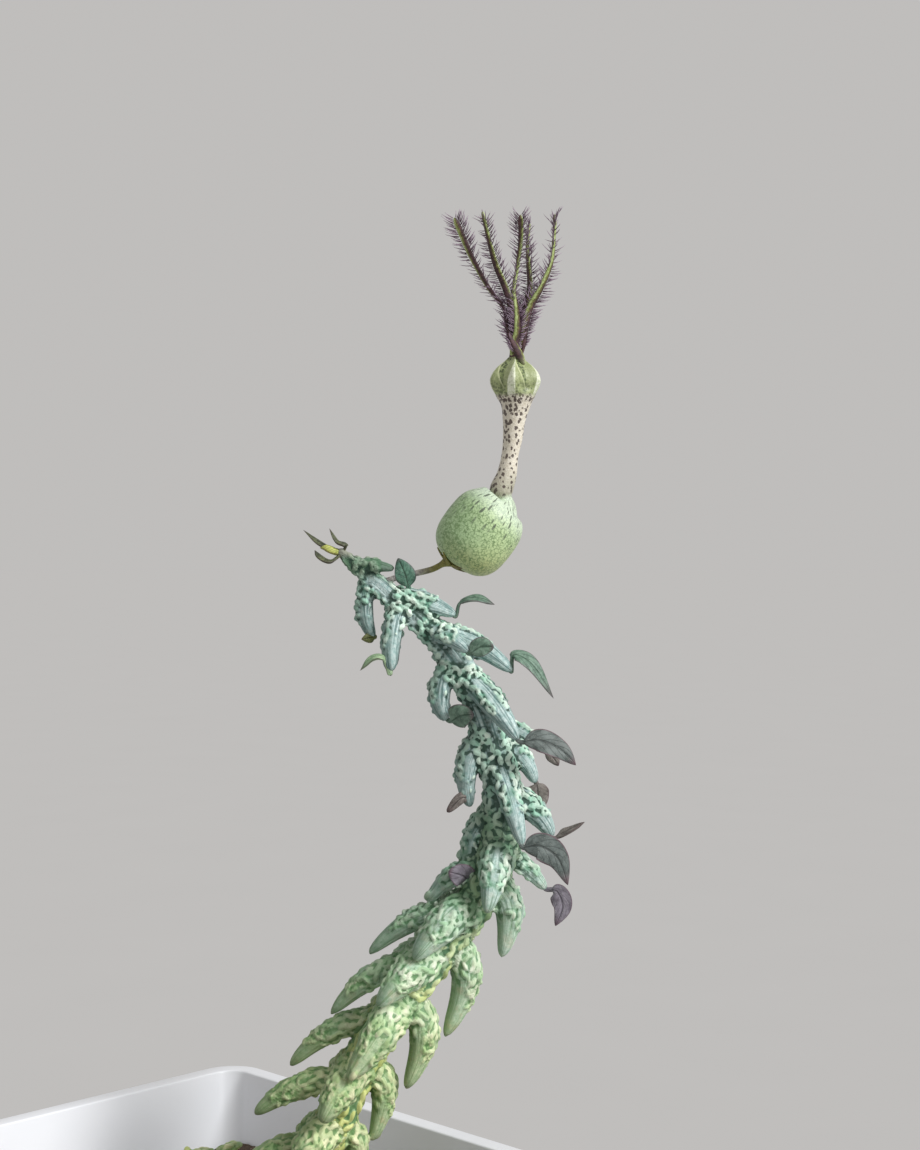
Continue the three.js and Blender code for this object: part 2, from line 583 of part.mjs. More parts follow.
// The flower stalk widens into the calyx, whose five narrow sepals lie along the barrel
function stalkSolid(gap) {
  const points = STALK_LINE.map(([x, y, z]) => new THREE.Vector3(x, PLANT_DEPTH + y, z));
  const along = barrelPoint(1).sub(barrelPoint(0)).normalize();
  points.push(barrelPoint(0).addScaledVector(along, -0.9), barrelPoint(0).addScaledVector(along, 0.6));
  const curve = new THREE.CatmullRomCurve3(points);
  const length = curve.getLength();
  const radius = (t) => {
    const left = (1 - t) * length;
    const swell = THREE.MathUtils.smoothstep(CALYX_LENGTH - left, 0, CALYX_LENGTH);
    return THREE.MathUtils.lerp(STALK_RADIUS, CALYX_RADIUS, swell) + gap;
  };
  return toSolid(loft(sweepRings(curve, STALK_STEPS, STALK_SIDES, radius, radius, IN_DEPTH)));
}

function makeStalk() {
  const along = barrelPoint(1).sub(barrelPoint(0)).normalize();
  const across = new THREE.Vector3().crossVectors(IN_DEPTH, along);
  const parts = [stalkSolid(0)];
  const half = (t) => THREE.MathUtils.lerp(0.5 * SEPAL_WIDTH, SEPAL_TIP, t ** 1.5);
  const thick = (t) => THREE.MathUtils.lerp(...SEPAL_THICKNESS, t);
  for (let sepal = 0; sepal < SEPAL_COUNT; sepal += 1) {
    const angle = (2 * Math.PI * sepal) / SEPAL_COUNT + SEPAL_TURN;
    const out = across.clone().multiplyScalar(Math.cos(angle)).addScaledVector(IN_DEPTH, Math.sin(angle));
    const course = SEPAL_COURSE.map(([forward, aside]) => (
      barrelPoint(0).addScaledVector(along, forward).addScaledVector(out, aside)
    ));
    const curve = new THREE.QuadraticBezierCurve3(...course);
    parts.push(toSolid(loft(sweepRings(curve, SEPAL_STEPS, LEAF_SIDES, half, thick, along))));
  }
  return joinAll(parts).subtract(corollaSolid(FIT_GAP));
}

// One antenna: a slim twisted ribbon with hair-like cilia on all sides, out to its tip
function antennaSolids(points, random) {
  const depth = PLANT_DEPTH + FLOWER_DEPTH;
  const curve = new THREE.CatmullRomCurve3(points.map(([x, y, z]) => new THREE.Vector3(x, depth + y, z)));
  const half = (t) => ANTENNA_HALF_WIDTH * THREE.MathUtils.lerp(1, 0.55, t);
  const thick = (t) => ANTENNA_HALF_THICKNESS * THREE.MathUtils.lerp(1.15, 0.8, t);
  const parts = [toSolid(loft(sweepRings(curve, ANTENNA_STEPS, ANTENNA_SIDES, half, thick, IN_DEPTH)))];
  const length = CILIUM_LENGTH + ANTENNA_HALF_THICKNESS;
  for (let hair = 0; hair < CILIA_PER_ANTENNA; hair += 1) {
    const t = THREE.MathUtils.lerp(CILIA_FROM, CILIA_TO, hair / (CILIA_PER_ANTENNA - 1));
    const root = curve.getPoint(t);
    const along = curve.getTangent(t);
    const across = new THREE.Vector3().crossVectors(IN_DEPTH, along).normalize();
    const angle = hair * CILIUM_TURN + 0.5 * random();
    const out = across.clone().multiplyScalar(Math.cos(angle)).addScaledVector(IN_DEPTH, Math.sin(angle));
    out.addScaledVector(along, CILIUM_LEAN).normalize();
    const spike = new THREE.ConeGeometry(CILIUM_RADIUS, length, 3);
    spike.translate(0, 0.5 * length, 0);
    spike.applyQuaternion(new THREE.Quaternion().setFromUnitVectors(new THREE.Vector3(0, 1, 0), out));
    spike.translate(root.x, root.y, root.z);
    parts.push(toSolid(spike));
  }
  return parts;
}

// The antennae are grown together in a short neck that sits on the cage
function makeAntennae() {
  const random = seededRandom(SEED_CILIA);
  const parts = ANTENNAE.flatMap((points) => antennaSolids(points, random));
  const collar = new THREE.CylinderGeometry(COLLAR.top, COLLAR.bottom, COLLAR.height, STALK_SIDES);
  collar.rotateX(Math.PI / 2);
  collar.translate(CAGE_AXIS_X, PLANT_DEPTH + FLOWER_DEPTH, COLLAR.middle);
  parts.push(toSolid(collar));
  return joinAll(parts).subtract(corollaSolid(FIT_GAP));
}

// The low humps of the soil's surface
function soilHeight(x, y) {
  const humps = Math.sin(0.31 * x + 1.3) * Math.cos(0.27 * y) + Math.sin(0.19 * (x + y));
  return SOIL_TOP + SOIL_ROUGHNESS * humps;
}

// Gritty mix that fills the pot up to a little under the rim, with pebbles lying in its surface
function makeSoil() {
  const random = seededRandom(SEED_SOIL);
  const corner = POT_CORNER - POT_WALL - FIT_GAP;
  const topSide = innerSideAt(SOIL_TOP) - 2 * FIT_GAP;
  const rings = [
    roundedSquare(innerSideAt(POT_FLOOR) - 2 * FIT_GAP, corner, POT_FLOOR + FIT_GAP),
    roundedSquare(topSide, corner, SOIL_TOP),
  ];
  for (let ring = 1; ring < SOIL_RINGS; ring += 1) {
    const shrink = 1 - ring / SOIL_RINGS;
    rings.push(roundedSquare(topSide, corner, SOIL_TOP).map((p) => new THREE.Vector3(
      p.x * shrink, p.y * shrink, soilHeight(p.x * shrink, p.y * shrink),
    )));
  }
  const parts = [toSolid(loft(rings))];
  const upright = new THREE.Vector3(0, 0, 1);
  const feet = [stemCurve, shootCurve].map((curve) => (
    curve.getPoint(wayAtHeight(curve, SOIL_TOP)).applyAxisAngle(upright, PLANT_TURN)
  ));
  while (parts.length <= PEBBLE_COUNT) {
    const radius = THREE.MathUtils.lerp(PEBBLE_SMALL, PEBBLE_LARGE, random() ** 2);
    const field = topSide / 2 - radius - FIT_GAP;
    const x = field * (2 * random() - 1);
    const y = field * (2 * random() - 1);
    if (feet.every((foot) => Math.hypot(x - foot.x, y - foot.y) > radius + FOOT_ROOM)) {
      const pebble = new THREE.IcosahedronGeometry(radius, 0);
      pebble.scale(...PEBBLE_FLATNESS);
      pebble.rotateZ(random() * Math.PI);
      pebble.translate(x, y, soilHeight(x, y) + PEBBLE_SHOWING * radius);
      parts.push(toSolid(pebble));
    }
  }
  const stemHole = toSolid(turned(coreSkin(stemCurve, STEM_GIRTH, STEM_STEPS, HOLE_GAP)));
  const shootHole = toSolid(turned(coreSkin(shootCurve, SHOOT_GIRTH, SHOOT_STEPS, HOLE_GAP)));
  return withoutCrumbs(joinAll(parts).subtract(stemHole).subtract(shootHole));
}

const group = new THREE.Group();
const plant = new THREE.Group();
plant.rotation.z = PLANT_TURN;

const stalkRoot = stalkSolid(FIT_GAP);
group.add(toMesh('pot', makePot(), 0xedeff5, 0.25));
group.add(toMesh('soil', makeSoil(), 0x6e5f50, 0.95));
plant.add(toMesh('stem', withoutCrumbs(makeStem().subtract(stalkRoot)), 0x9dbb9c, 0.6));
plant.add(toMesh('side_stem', makeShoot(), 0x8fae74, 0.6));
plant.add(toMesh('flower_stalk', makeStalk(), 0x7f7a55, 0.55));
plant.add(toMesh('corolla', corollaSolid(0), 0xb7cfa0, 0.45));
plant.add(toMesh('antennae', makeAntennae(), 0x6e4a5e, 0.6));
group.add(plant);

export default group;
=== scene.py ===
# Potted Ceropegia simoneae: a warty succulent stem with one lantern flower, in a square white pot.
# Metres, +Z up. The pot's sides lie along X and Y, and the plant stands turned 45 degrees to them.

import math

import bmesh
import bpy
import numpy as np
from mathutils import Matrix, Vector, noise
from mathutils.bvhtree import BVHTree
from mathutils.kdtree import KDTree


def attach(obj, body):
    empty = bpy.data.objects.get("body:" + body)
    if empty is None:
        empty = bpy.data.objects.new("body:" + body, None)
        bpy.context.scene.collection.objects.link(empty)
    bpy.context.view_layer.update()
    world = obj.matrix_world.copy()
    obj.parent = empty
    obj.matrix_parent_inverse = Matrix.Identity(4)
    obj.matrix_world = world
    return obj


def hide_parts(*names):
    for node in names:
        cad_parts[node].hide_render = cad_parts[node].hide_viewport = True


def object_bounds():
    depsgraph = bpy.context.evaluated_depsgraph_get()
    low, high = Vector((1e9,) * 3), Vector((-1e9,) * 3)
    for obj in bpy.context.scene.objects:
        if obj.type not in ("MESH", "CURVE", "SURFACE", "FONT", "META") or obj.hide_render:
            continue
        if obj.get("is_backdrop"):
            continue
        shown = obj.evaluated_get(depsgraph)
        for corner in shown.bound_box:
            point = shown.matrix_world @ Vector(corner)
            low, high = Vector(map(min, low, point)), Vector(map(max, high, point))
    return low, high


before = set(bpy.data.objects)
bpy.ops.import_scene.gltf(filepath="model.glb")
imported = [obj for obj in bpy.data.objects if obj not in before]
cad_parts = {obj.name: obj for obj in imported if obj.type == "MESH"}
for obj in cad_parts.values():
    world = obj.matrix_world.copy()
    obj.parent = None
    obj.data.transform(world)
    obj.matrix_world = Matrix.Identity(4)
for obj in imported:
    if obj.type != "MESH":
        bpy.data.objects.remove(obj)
cad_low, cad_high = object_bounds()


# The pot: one square, tapered shell of white plastic, moulded in one shot with a narrow lip round
# its mouth and four drain holes in its flat foot.
MM = 0.001
POT_HEIGHT = 80 * MM
POT_FOOT_SIDE = 66 * MM
POT_TOP_SIDE = 88 * MM
POT_LIP_SIDE = 90 * MM
POT_LIP_HEIGHT = 3 * MM
POT_CORNER = 6 * MM
POT_CORNER_STEPS = 12
POT_WALL = 1.8 * MM
POT_FLOOR = 2.5 * MM
POT_EDGE = 0.7 * MM
POT_EDGE_TURN = math.radians(40)
POT_SMOOTH_TURN = math.radians(35)
DRAIN_RADIUS = 3.5 * MM
DRAIN_OFFSET = 18 * MM
LIP_START = POT_HEIGHT - POT_LIP_HEIGHT


def wall_side_at(height):
    """The outer width of the pot's wall at a height."""
    return POT_FOOT_SIDE + (POT_TOP_SIDE - POT_FOOT_SIDE) * height / POT_HEIGHT


def rise(height, widening):
    """Extrudes the selected face upwards and moves its corners apart, with their radius kept."""
    bpy.ops.mesh.extrude_region_move(TRANSFORM_OT_translate={"value": (0, 0, height)})
    mesh = bmesh.from_edit_mesh(bpy.context.object.data)
    for corner in mesh.verts:
        if corner.select:
            corner.co.x += math.copysign(1, corner.co.x) * widening
            corner.co.y += math.copysign(1, corner.co.y) * widening
    bmesh.update_edit_mesh(bpy.context.object.data)


def close_up():
    """Turns all faces of the piece in hand outwards and leaves edit mode."""
    bpy.ops.mesh.select_all(action="SELECT")
    bpy.ops.mesh.normals_make_consistent(inside=False)
    bpy.ops.object.mode_set(mode="OBJECT")


def new_piece(name, add, **settings):
    """A new object made by one of Blender's own shapes."""
    bpy.ops.object.select_all(action="DESELECT")
    add(**settings)
    bpy.context.object.name = name
    return bpy.context.object


def apply_modifier(obj, kind, **settings):
    """Adds a modifier with these settings and applies it."""
    bpy.context.view_layer.objects.active = obj
    modifier = obj.modifiers.new(kind.lower(), kind)
    for name, value in settings.items():
        setattr(modifier, name, value)
    bpy.ops.object.modifier_apply(modifier=modifier.name)


pot = new_piece("white_pot", bpy.ops.mesh.primitive_plane_add, size=POT_FOOT_SIDE)
bpy.ops.object.mode_set(mode="EDIT")
bpy.ops.mesh.bevel(offset=POT_CORNER, segments=POT_CORNER_STEPS, affect="VERTICES")
rise(LIP_START, (wall_side_at(LIP_START) - POT_FOOT_SIDE) / 2)
rise(0, (POT_LIP_SIDE - wall_side_at(LIP_START)) / 2)
rise(POT_LIP_HEIGHT, 0)
bpy.ops.mesh.inset(thickness=(POT_LIP_SIDE - POT_TOP_SIDE) / 2 + POT_WALL)
rise(POT_FLOOR - POT_HEIGHT, (wall_side_at(POT_FLOOR) - POT_TOP_SIDE) / 2)
close_up()

for x in (-DRAIN_OFFSET, DRAIN_OFFSET):
    for y in (-DRAIN_OFFSET, DRAIN_OFFSET):
        drill = new_piece(
            "drill", bpy.ops.mesh.primitive_cylinder_add, vertices=32, radius=DRAIN_RADIUS,
            depth=4 * POT_FLOOR, location=(x, y, 0),
        )
        apply_modifier(pot, "BOOLEAN", operation="DIFFERENCE", object=drill)
        bpy.data.objects.remove(drill)
apply_modifier(
    pot, "BEVEL", width=POT_EDGE, segments=4, limit_method="ANGLE", angle_limit=POT_EDGE_TURN
)
pot.select_set(True)
bpy.ops.object.shade_smooth_by_angle(angle=POT_SMOOTH_TURN)


class Wire:
    """A value on its way through a material. It is added, multiplied and so on like a number."""

    def __init__(self, finish, socket):
        self.finish = finish
        self.socket = socket

    def __add__(self, other):
        return self.finish.maths("ADD", self, other)

    def __sub__(self, other):
        return self.finish.maths("SUBTRACT", self, other)

    def __rsub__(self, other):
        return self.finish.maths("SUBTRACT", other, self)

    def __mul__(self, other):
        return self.finish.maths("MULTIPLY", self, other)

    __radd__ = __add__
    __rmul__ = __mul__


def colour(code):
    """A colour of the screen, written as six hex digits, as the four numbers that a shader takes."""
    parts = [int(code[i:i + 2], 16) / 255 for i in (0, 2, 4)]
    return (*[c / 12.92 if c <= 0.04045 else ((c + 0.055) / 1.055) ** 2.4 for c in parts], 1)


class Finish:
    """A material in the making: nodes are added one by one and feed one shader."""

    def __init__(self, name, **constants):
        self.material = bpy.data.materials.new(name)
        self.material.use_nodes = True
        self.tree = self.material.node_tree
        self.shader = self.tree.nodes["Principled BSDF"]
        for socket, value in constants.items():
            self.shader.inputs[socket.replace("_", " ").title()].default_value = value

    def feed(self, socket, value):
        """Links a wire to a socket, or sets the socket to a number, a vector or a colour's code."""
        if isinstance(value, Wire):
            self.tree.links.new(value.socket, socket)
        else:
            socket.default_value = colour(value) if isinstance(value, str) else value

    def node(self, kind, settings, sockets, output=0):
        made = self.tree.nodes.new(kind)
        for name, value in settings.items():
            setattr(made, name, value)
        for name, value in sockets.items():
            self.feed(made.inputs[name], value)
        return Wire(self, made.outputs[output])

    def maths(self, operation, *values):
        return self.node("ShaderNodeMath", {"operation": operation}, dict(enumerate(values)))

    def place(self, stretch=(1, 1, 1)):
        """Where a point lies on the object, in millimetres."""
        spot = self.node("ShaderNodeTexCoord", {}, {}, "Object")
        scale = tuple(part / MM for part in stretch)
        return self.node("ShaderNodeVectorMath", {"operation": "MULTIPLY"}, {0: spot, 1: scale})

    def height(self):
        return self.node("ShaderNodeSeparateXYZ", {}, {0: self.place()}, "Z")

    def noise(self, scale, detail=3, roughness=0.55, at=None):
        at = at or self.place()
        sockets = {"Vector": at, "Scale": scale, "Detail": detail, "Roughness": roughness}
        return self.node("ShaderNodeTexNoise", {}, sockets)

    def cells(self, scale, at=None, feature="F1"):
        sockets = {"Vector": at or self.place(), "Scale": scale}
        return self.node("ShaderNodeTexVoronoi", {"feature": feature}, sockets, "Distance")

    def ease(self, value, low, high):
        """0 up to low, 1 from high on, and a soft step between them. Low may be above high."""
        settings = {"interpolation_type": "SMOOTHSTEP"}
        return self.node("ShaderNodeMapRange", settings, {0: value, 1: low, 2: high})

    def mix(self, share, under, over, blend="MIX"):
        """The tone under, the tone over it, or as much of both as the share says."""
        settings = {"data_type": "RGBA", "blend_type": blend, "clamp_factor": True}
        return self.node("ShaderNodeMix", settings, {0: share, 6: under, 7: over}, 2)

    def layers(self, body, *coats):
        """Lays coats over a body, each with its share and its tone."""
        for share, tone in coats:
            body = self.mix(share, body, tone)
        return body

    def attributes(self, *names):
        """What the mesh keeps for each of its points under these names."""
        kind = "ShaderNodeAttribute"
        return [self.node(kind, {"attribute_name": name}, {}, "Fac") for name in names]

    def tones(self, value, dark, light, low=0.3, high=0.7):
        """From the dark tone to the light one as a value goes from low to high."""
        return self.mix(self.ease(value, low, high), dark, light)

    def cover(self, body, roughness, relief=None, depth=0):
        """Sets the surface's colour, its roughness and a relief of this depth in millimetres."""
        self.feed(self.shader.inputs["Base Color"], body)
        self.feed(self.shader.inputs["Roughness"], roughness)
        if relief:
            sockets = {"Strength": 1.0, "Distance": depth * MM, "Height": relief}
            self.feed(self.shader.inputs["Normal"], self.node("ShaderNodeBump", {}, sockets))

    def wear(self, obj):
        obj.data.materials.clear()
        obj.data.materials.append(self.material)


def paint_pot():
    """Glossy white plastic, faintly blue, with a few scuffs and a bloom of dust by the foot."""
    glaze = Finish("white_glaze", coat_weight=0.15, coat_roughness=0.12)
    dust = glaze.noise(0.5, 5, 0.7) * glaze.ease(glaze.height(), 26, 0)
    scuffs = glaze.ease(glaze.noise(0.9, 6, 0.8, glaze.place((1, 1, 0.15))), 0.62, 0.75)
    body = glaze.mix(glaze.noise(0.035, 2), "E0E3E9", "EDEEF1")
    body = glaze.layers(body, (dust * 0.5, "C9C1B2"), (scuffs * 0.25, "C7C9CE"))
    roughness = 0.26 + glaze.noise(0.3, 3) * 0.16 + scuffs * 0.15
    glaze.cover(body, roughness, glaze.noise(0.12, 2) + glaze.noise(2.2, 2) * 0.03, 0.12)
    return glaze


def put(obj, finish, slot, *nodes):
    """Gives a piece its material. It rides on the part's one body and stands for its CAD nodes."""
    finish.wear(obj)
    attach(obj, "root")
    if nodes:
        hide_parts(*nodes)


put(pot, paint_pot(), "white_glaze", "pot")


# The soil: a gritty cactus mix of dark crumbs, poured in to a little under the rim. The bed is one
# rough sheet drawn down to the pot's floor.
SOIL_TOP = 69 * MM
SOIL_ROUGHNESS = 0.5 * MM
SOIL_GAP = 0.3 * MM
SOIL_GRID = 110
SOIL_SMOOTH_TURN = math.radians(50)
CRUMB_HEIGHT = 0.55 * MM
CRUMB_FINENESS = 0.9
CRUMB_STEPS = (0.9, 2.1, 4)
SOIL_SEED = 5


def inner_side_at(height):
    """The inner width of the pot at a height."""
    return wall_side_at(height) - 2 * POT_WALL


def soil_height(x, y):
    """The low humps of the soil's surface."""
    across, back = x / MM, y / MM
    humps = np.sin(0.31 * across + 1.3) * np.cos(0.27 * back) + np.sin(0.19 * (across + back))
    return SOIL_TOP + SOIL_ROUGHNESS * humps


def coordinates(obj):
    """The places of a mesh's vertices, one row each."""
    flat = np.empty(3 * len(obj.data.vertices), np.float32)
    obj.data.vertices.foreach_get("co", flat)
    return flat.reshape(-1, 3).astype(float)


def reshape(obj, places):
    """Puts a mesh's vertices at these places."""
    obj.data.vertices.foreach_set("co", places.astype(np.float32).ravel())
    obj.data.update()


soil_side = inner_side_at(SOIL_TOP) - 2 * SOIL_GAP
soil_corner = POT_CORNER - POT_WALL - SOIL_GAP
soil = new_piece(
    "soil_bed", bpy.ops.mesh.primitive_grid_add, x_subdivisions=SOIL_GRID,
    y_subdivisions=SOIL_GRID, size=soil_side,
)
ground = coordinates(soil)
straight = soil_side / 2 - soil_corner
past_corner = np.maximum(np.abs(ground[:, :2]) - straight, 0)
reach = np.linalg.norm(past_corner, axis=1)
longest = np.maximum(past_corner.max(axis=1), 1e-9)
rounding = (1 - longest / np.maximum(reach, 1e-9))[:, None]
ground[:, :2] -= np.sign(ground[:, :2]) * past_corner * rounding
crumbs = np.array([
    noise.fractal(Vector((x / MM * CRUMB_FINENESS, y / MM * CRUMB_FINENESS, 0)), *CRUMB_STEPS)
    for x, y, _ in ground
])
ground[:, 2] = soil_height(ground[:, 0], ground[:, 1]) + CRUMB_HEIGHT * crumbs
reshape(soil, ground)
bpy.ops.object.mode_set(mode="EDIT")
bpy.ops.mesh.select_all(action="SELECT")
bpy.ops.mesh.extrude_region_move()
bed = bmesh.from_edit_mesh(soil.data)
foot_share = (inner_side_at(POT_FLOOR) - 2 * SOIL_GAP) / soil_side
for vertex in bed.verts:
    if vertex.select:
        vertex.co = Vector((vertex.co.x * foot_share, vertex.co.y * foot_share, POT_FLOOR + SOIL_GAP))
bmesh.update_edit_mesh(soil.data)
close_up()
bpy.ops.object.shade_smooth_by_angle(angle=SOIL_SMOOTH_TURN)


def paint_soil():
    """Damp dark crumbs with a few pale flecks of pumice."""
    earth = Finish("soil_crumbs")
    tone = earth.mix(earth.noise(1.1, 5, 0.7), "2A211A", "6B5744")
    flecks = earth.ease(earth.cells(1.6), 0.22, 0.12)
    earth.cover(earth.mix(flecks * 0.6, tone, "A8967F"), 0.95, earth.noise(2.5, 6, 0.75), 0.5)
    return earth


put(soil, paint_soil(), "grit", "soil")


# The grit in the mix: broken lava and pumice of a few kinds, each kind chipped once from a ball and
# then strewn over the bed, half sunk. The largest are pebbles.
GRAIN_KINDS = (
    {"name": "dark_grit", "count": 620, "size": (0.35, 0.95), "tones": ("30261F", "5B4A3C")},
    {"name": "pale_grit", "count": 300, "size": (0.35, 0.9), "tones": ("A59683", "D6CDBD")},
    {"name": "red_grit", "count": 240, "size": (0.4, 1.15), "tones": ("6E4334", "A9765F")},
    {"name": "pebbles", "count": 34, "size": (1.1, 2.3), "tones": ("8A7466", "C2A797")},
)
GRAIN_FLATNESS = (1, 0.85, 0.6)
GRAIN_SHOWING = 0.15
CHIP_CUTS = 9
CHIP_DEPTH = 0.85 * 1.7
FOOT_ROOM = 3.4 * MM
STEM_FEET = ((0, 19.9), (-7.1, 28.3))


def chip(obj, random):
    """Breaks flat faces off a ball: each cut pushes in what stands past a slanting plane."""
    places = coordinates(obj)
    for _ in range(CHIP_CUTS):
        slant = random.normal(size=3)
        slant /= np.linalg.norm(slant)
        past = np.maximum(places @ slant - CHIP_DEPTH * places.std(), 0)
        places -= past[:, None] * slant
    reshape(obj, places)


def add_object(name, data):
    """A new object in the scene that holds this data."""
    obj = bpy.data.objects.new(name, data)
    bpy.context.scene.collection.objects.link(obj)
    return obj


def strew(name, model, origins, axes, shape=None):
    """One mesh of many copies of a model, each at its origin, along its own axes."""
    shape = coordinates(model) if shape is None else shape
    faces = np.array([face.vertices[:] for face in model.data.polygons])
    copies = np.einsum("vk,nkc->nvc", shape, axes) + origins[:, None, :]
    shifts = np.arange(len(origins))[:, None, None] * len(shape)
    mesh = bpy.data.meshes.new(name)
    mesh.from_pydata(copies.reshape(-1, 3).tolist(), [], (faces + shifts).reshape(-1, 3).tolist())
    mesh.update()
    bpy.data.objects.remove(model)
    return add_object(name, mesh)


def random_turn(random):
    """Three square axes in a random direction."""
    axes, _ = np.linalg.qr(random.normal(size=(3, 3)))
    return axes if np.linalg.det(axes) > 0 else -axes


def paint_grit(name, dark, light):
    """Dull broken stone, spotted in its own two tones."""
    stone = Finish(name)
    body = stone.tones(stone.noise(1.3, 5, 0.7), dark, light, 0.35, 0.65)
    stone.cover(body, 0.88, stone.noise(4, 4, 0.7), 0.12)
    return stone


pebble_random = np.random.default_rng(SOIL_SEED)
for kind in GRAIN_KINDS:
    large = kind["name"] == "pebbles"
    model = new_piece(
        "grain", bpy.ops.mesh.primitive_ico_sphere_add, subdivisions=3 if large else 1, radius=1
    )
    chip(model, pebble_random)
    origins = []
    axes = []
    while len(origins) < kind["count"]:
        low, high = kind["size"]
        radius = (low + (high - low) * pebble_random.random() ** 2) * MM
        x, y = (soil_side / 2 - radius - SOIL_GAP) * pebble_random.uniform(-1, 1, 2)
        if min(math.hypot(x - fx * MM, y - fy * MM) for fx, fy in STEM_FEET) > radius + FOOT_ROOM:
            origins.append((x, y, soil_height(x, y) + GRAIN_SHOWING * radius))
            turn = np.eye(3) if large else random_turn(pebble_random)
            axes.append(radius * np.array(GRAIN_FLATNESS)[:, None] * turn)
    grains = strew(kind["name"], model, np.array(origins), np.array(axes))
    put(grains, paint_grit(kind["name"], *kind["tones"]), "grit")


# The main stem: a leaning, four-edged succulent stem. Tubercles bend back from it in crossed pairs,
# and strings of warts run down its edges and out along each tubercle. It is grown as one piece: the
# smooth form is drawn first, the warts are set on it, and both are merged into one skin.
PLANT_TURN = math.radians(45)
PLANT_DEPTH = 14
STEM_LINE = (
    (14.0, 54), (14.0, 63), (14.4, 69.5), (16.4, 77), (19.1, 84.3), (23.3, 93.9), (27.7, 101.1),
    (32.9, 107.7), (37.3, 113.5), (40.6, 118.8), (42.3, 123.6), (42.7, 129.8), (41.9, 135),
    (40.6, 140.2), (38.7, 144.7), (35.9, 149.5), (32.6, 153.3), (29.2, 156.3), (26, 159.1),
    (23.5, 161.3), (21.6, 162.8), (19.9, 164.6),
)
STEM_GIRTH = (
    (50, 2.5), (70, 2.6), (85, 2.7), (110, 2.8), (135, 2.6), (148, 2.2), (156, 1.8), (160, 1.4),
    (163, 0.9), (165, 0.45),
)
STEM_SQUARENESS = 0.09

# Each tubercle: the height of its root, its tip (x, depth from the stem, z), its girth where it
# leaves the stem, its girth just before the tip, how far its shoulder bulges, in girths, and, for
# some, how far the shoulder is lifted along the stem
SIDE_TUBERCLES = (
    (84.5, (21.6, -0.5, 75.4), 3.0, 0.9, 1.1, 4.5), (82, (5.4, 0.5, 77.4), 3.1, 0.9, 1.4),
    (93, (24.4, 0.8, 81.9), 3.6, 1.1, 1.1, 4.5), (91, (8.2, -0.8, 86.2), 3.3, 1.0, 1.4),
    (101.5, (29.1, -0.8, 89.6), 4.1, 1.1, 1, 6), (99.3, (13, 0.6, 92.5), 3.1, 0.9, 1.4),
    (109.5, (34.5, 0.6, 96.5), 4.1, 1.1, 0.9, 6), (107, (18.8, -0.6, 100), 3.3, 0.8, 1.4),
    (118, (42.4, -0.8, 107.9), 4.0, 1.1, 0.8, 4.4), (114.5, (23.9, 0.4, 108.1), 3.1, 0.8, 1.4),
    (123, (48.8, 1.2, 117), 2.4, 1.0, 1.0), (120.5, (32.2, -0.8, 115.6), 2.8, 0.9, 1.4),
    (130.8, (49.6, -0.8, 124.6), 3.4, 1.0, 0.9), (129, (38, 0.8, 118.8), 3.0, 1.2, 1.4),
    (138.6, (47.4, 1.4, 131.7), 2.8, 1.1, 1.0), (139.5, (38.3, -1.0, 128.7), 3.1, 1.2, 1.4),
    (140.5, (48.8, 3.2, 136.2), 2.0, 0.9, 1.4), (149.2, (35.1, -0.6, 140.7), 3.0, 1.3, 1.4),
    (152.6, (44.3, 1.6, 147.2), 3.1, 1.1, 0.9), (157.6, (36.5, -0.6, 155.2), 2.9, 0.9, 0.5),
    (160.4, (25, 0.8, 151.9), 2.4, 1.0, 1.4), (162.3, (28, -1.4, 161.7), 1.7, 0.9, 0.3),
)
FACING_TUBERCLES = (
    (85, (13.6, -5.8, 78), 4.0, 1.2, 1), (93.4, (18, -6.0, 86.6), 4.1, 1.4, 1),
    (102.6, (21.5, -6.2, 92.5), 4.4, 1.2, 1), (108.6, (25.5, -6.2, 102.5), 4.3, 1.0, 1),
    (115.2, (30.4, -6.2, 108.8), 4.3, 1.1, 1), (124, (40.4, -6.0, 115), 3.5, 1.0, 1),
    (135.2, (45.3, -5.8, 124), 2.9, 1.1, 1), (146.4, (44.8, -5.4, 138.4), 3.1, 1.1, 1),
    (153.4, (38.2, -4.4, 150.4), 2.3, 1.1, 1), (156.8, (27.4, -3.8, 147.6), 2.6, 1.5, 1),
)
SHOULDER_AT = 0.25
TAPER_FROM = 0.45
TAPER_TO = 1.2
TUBERCLE_SWELL = 1.15
TUBERCLE_FLATNESS = 0.8
TIP_ROUND_FROM = 0.86
CORE_GRID = (32, 140)
BUMP_GRID = (20, 26)
FORM_GRAIN = 0.3
FORM_SMOOTHING = 5
IN_DEPTH = np.array((0.0, 1.0, 0.0))
RIGHTWARDS = (math.cos(PLANT_TURN), math.sin(PLANT_TURN), 0)


def stand(points):
    """From the plant's own millimetres (x across, y away, z up) to the pot's metres."""
    cosine, sine, _ = RIGHTWARDS
    x, y, z = np.moveaxis(points, -1, 0)
    return MM * np.stack([cosine * x - sine * y, sine * x + cosine * y, z], axis=-1)


def at_depth(points, depth):
    """Points that are given with their depth counted from this one."""
    return [np.array((x, depth + y, z)) for x, y, z in points]


def unit(vectors):
    """The same directions, each 1 long."""
    return vectors / np.linalg.norm(vectors, axis=-1, keepdims=True)


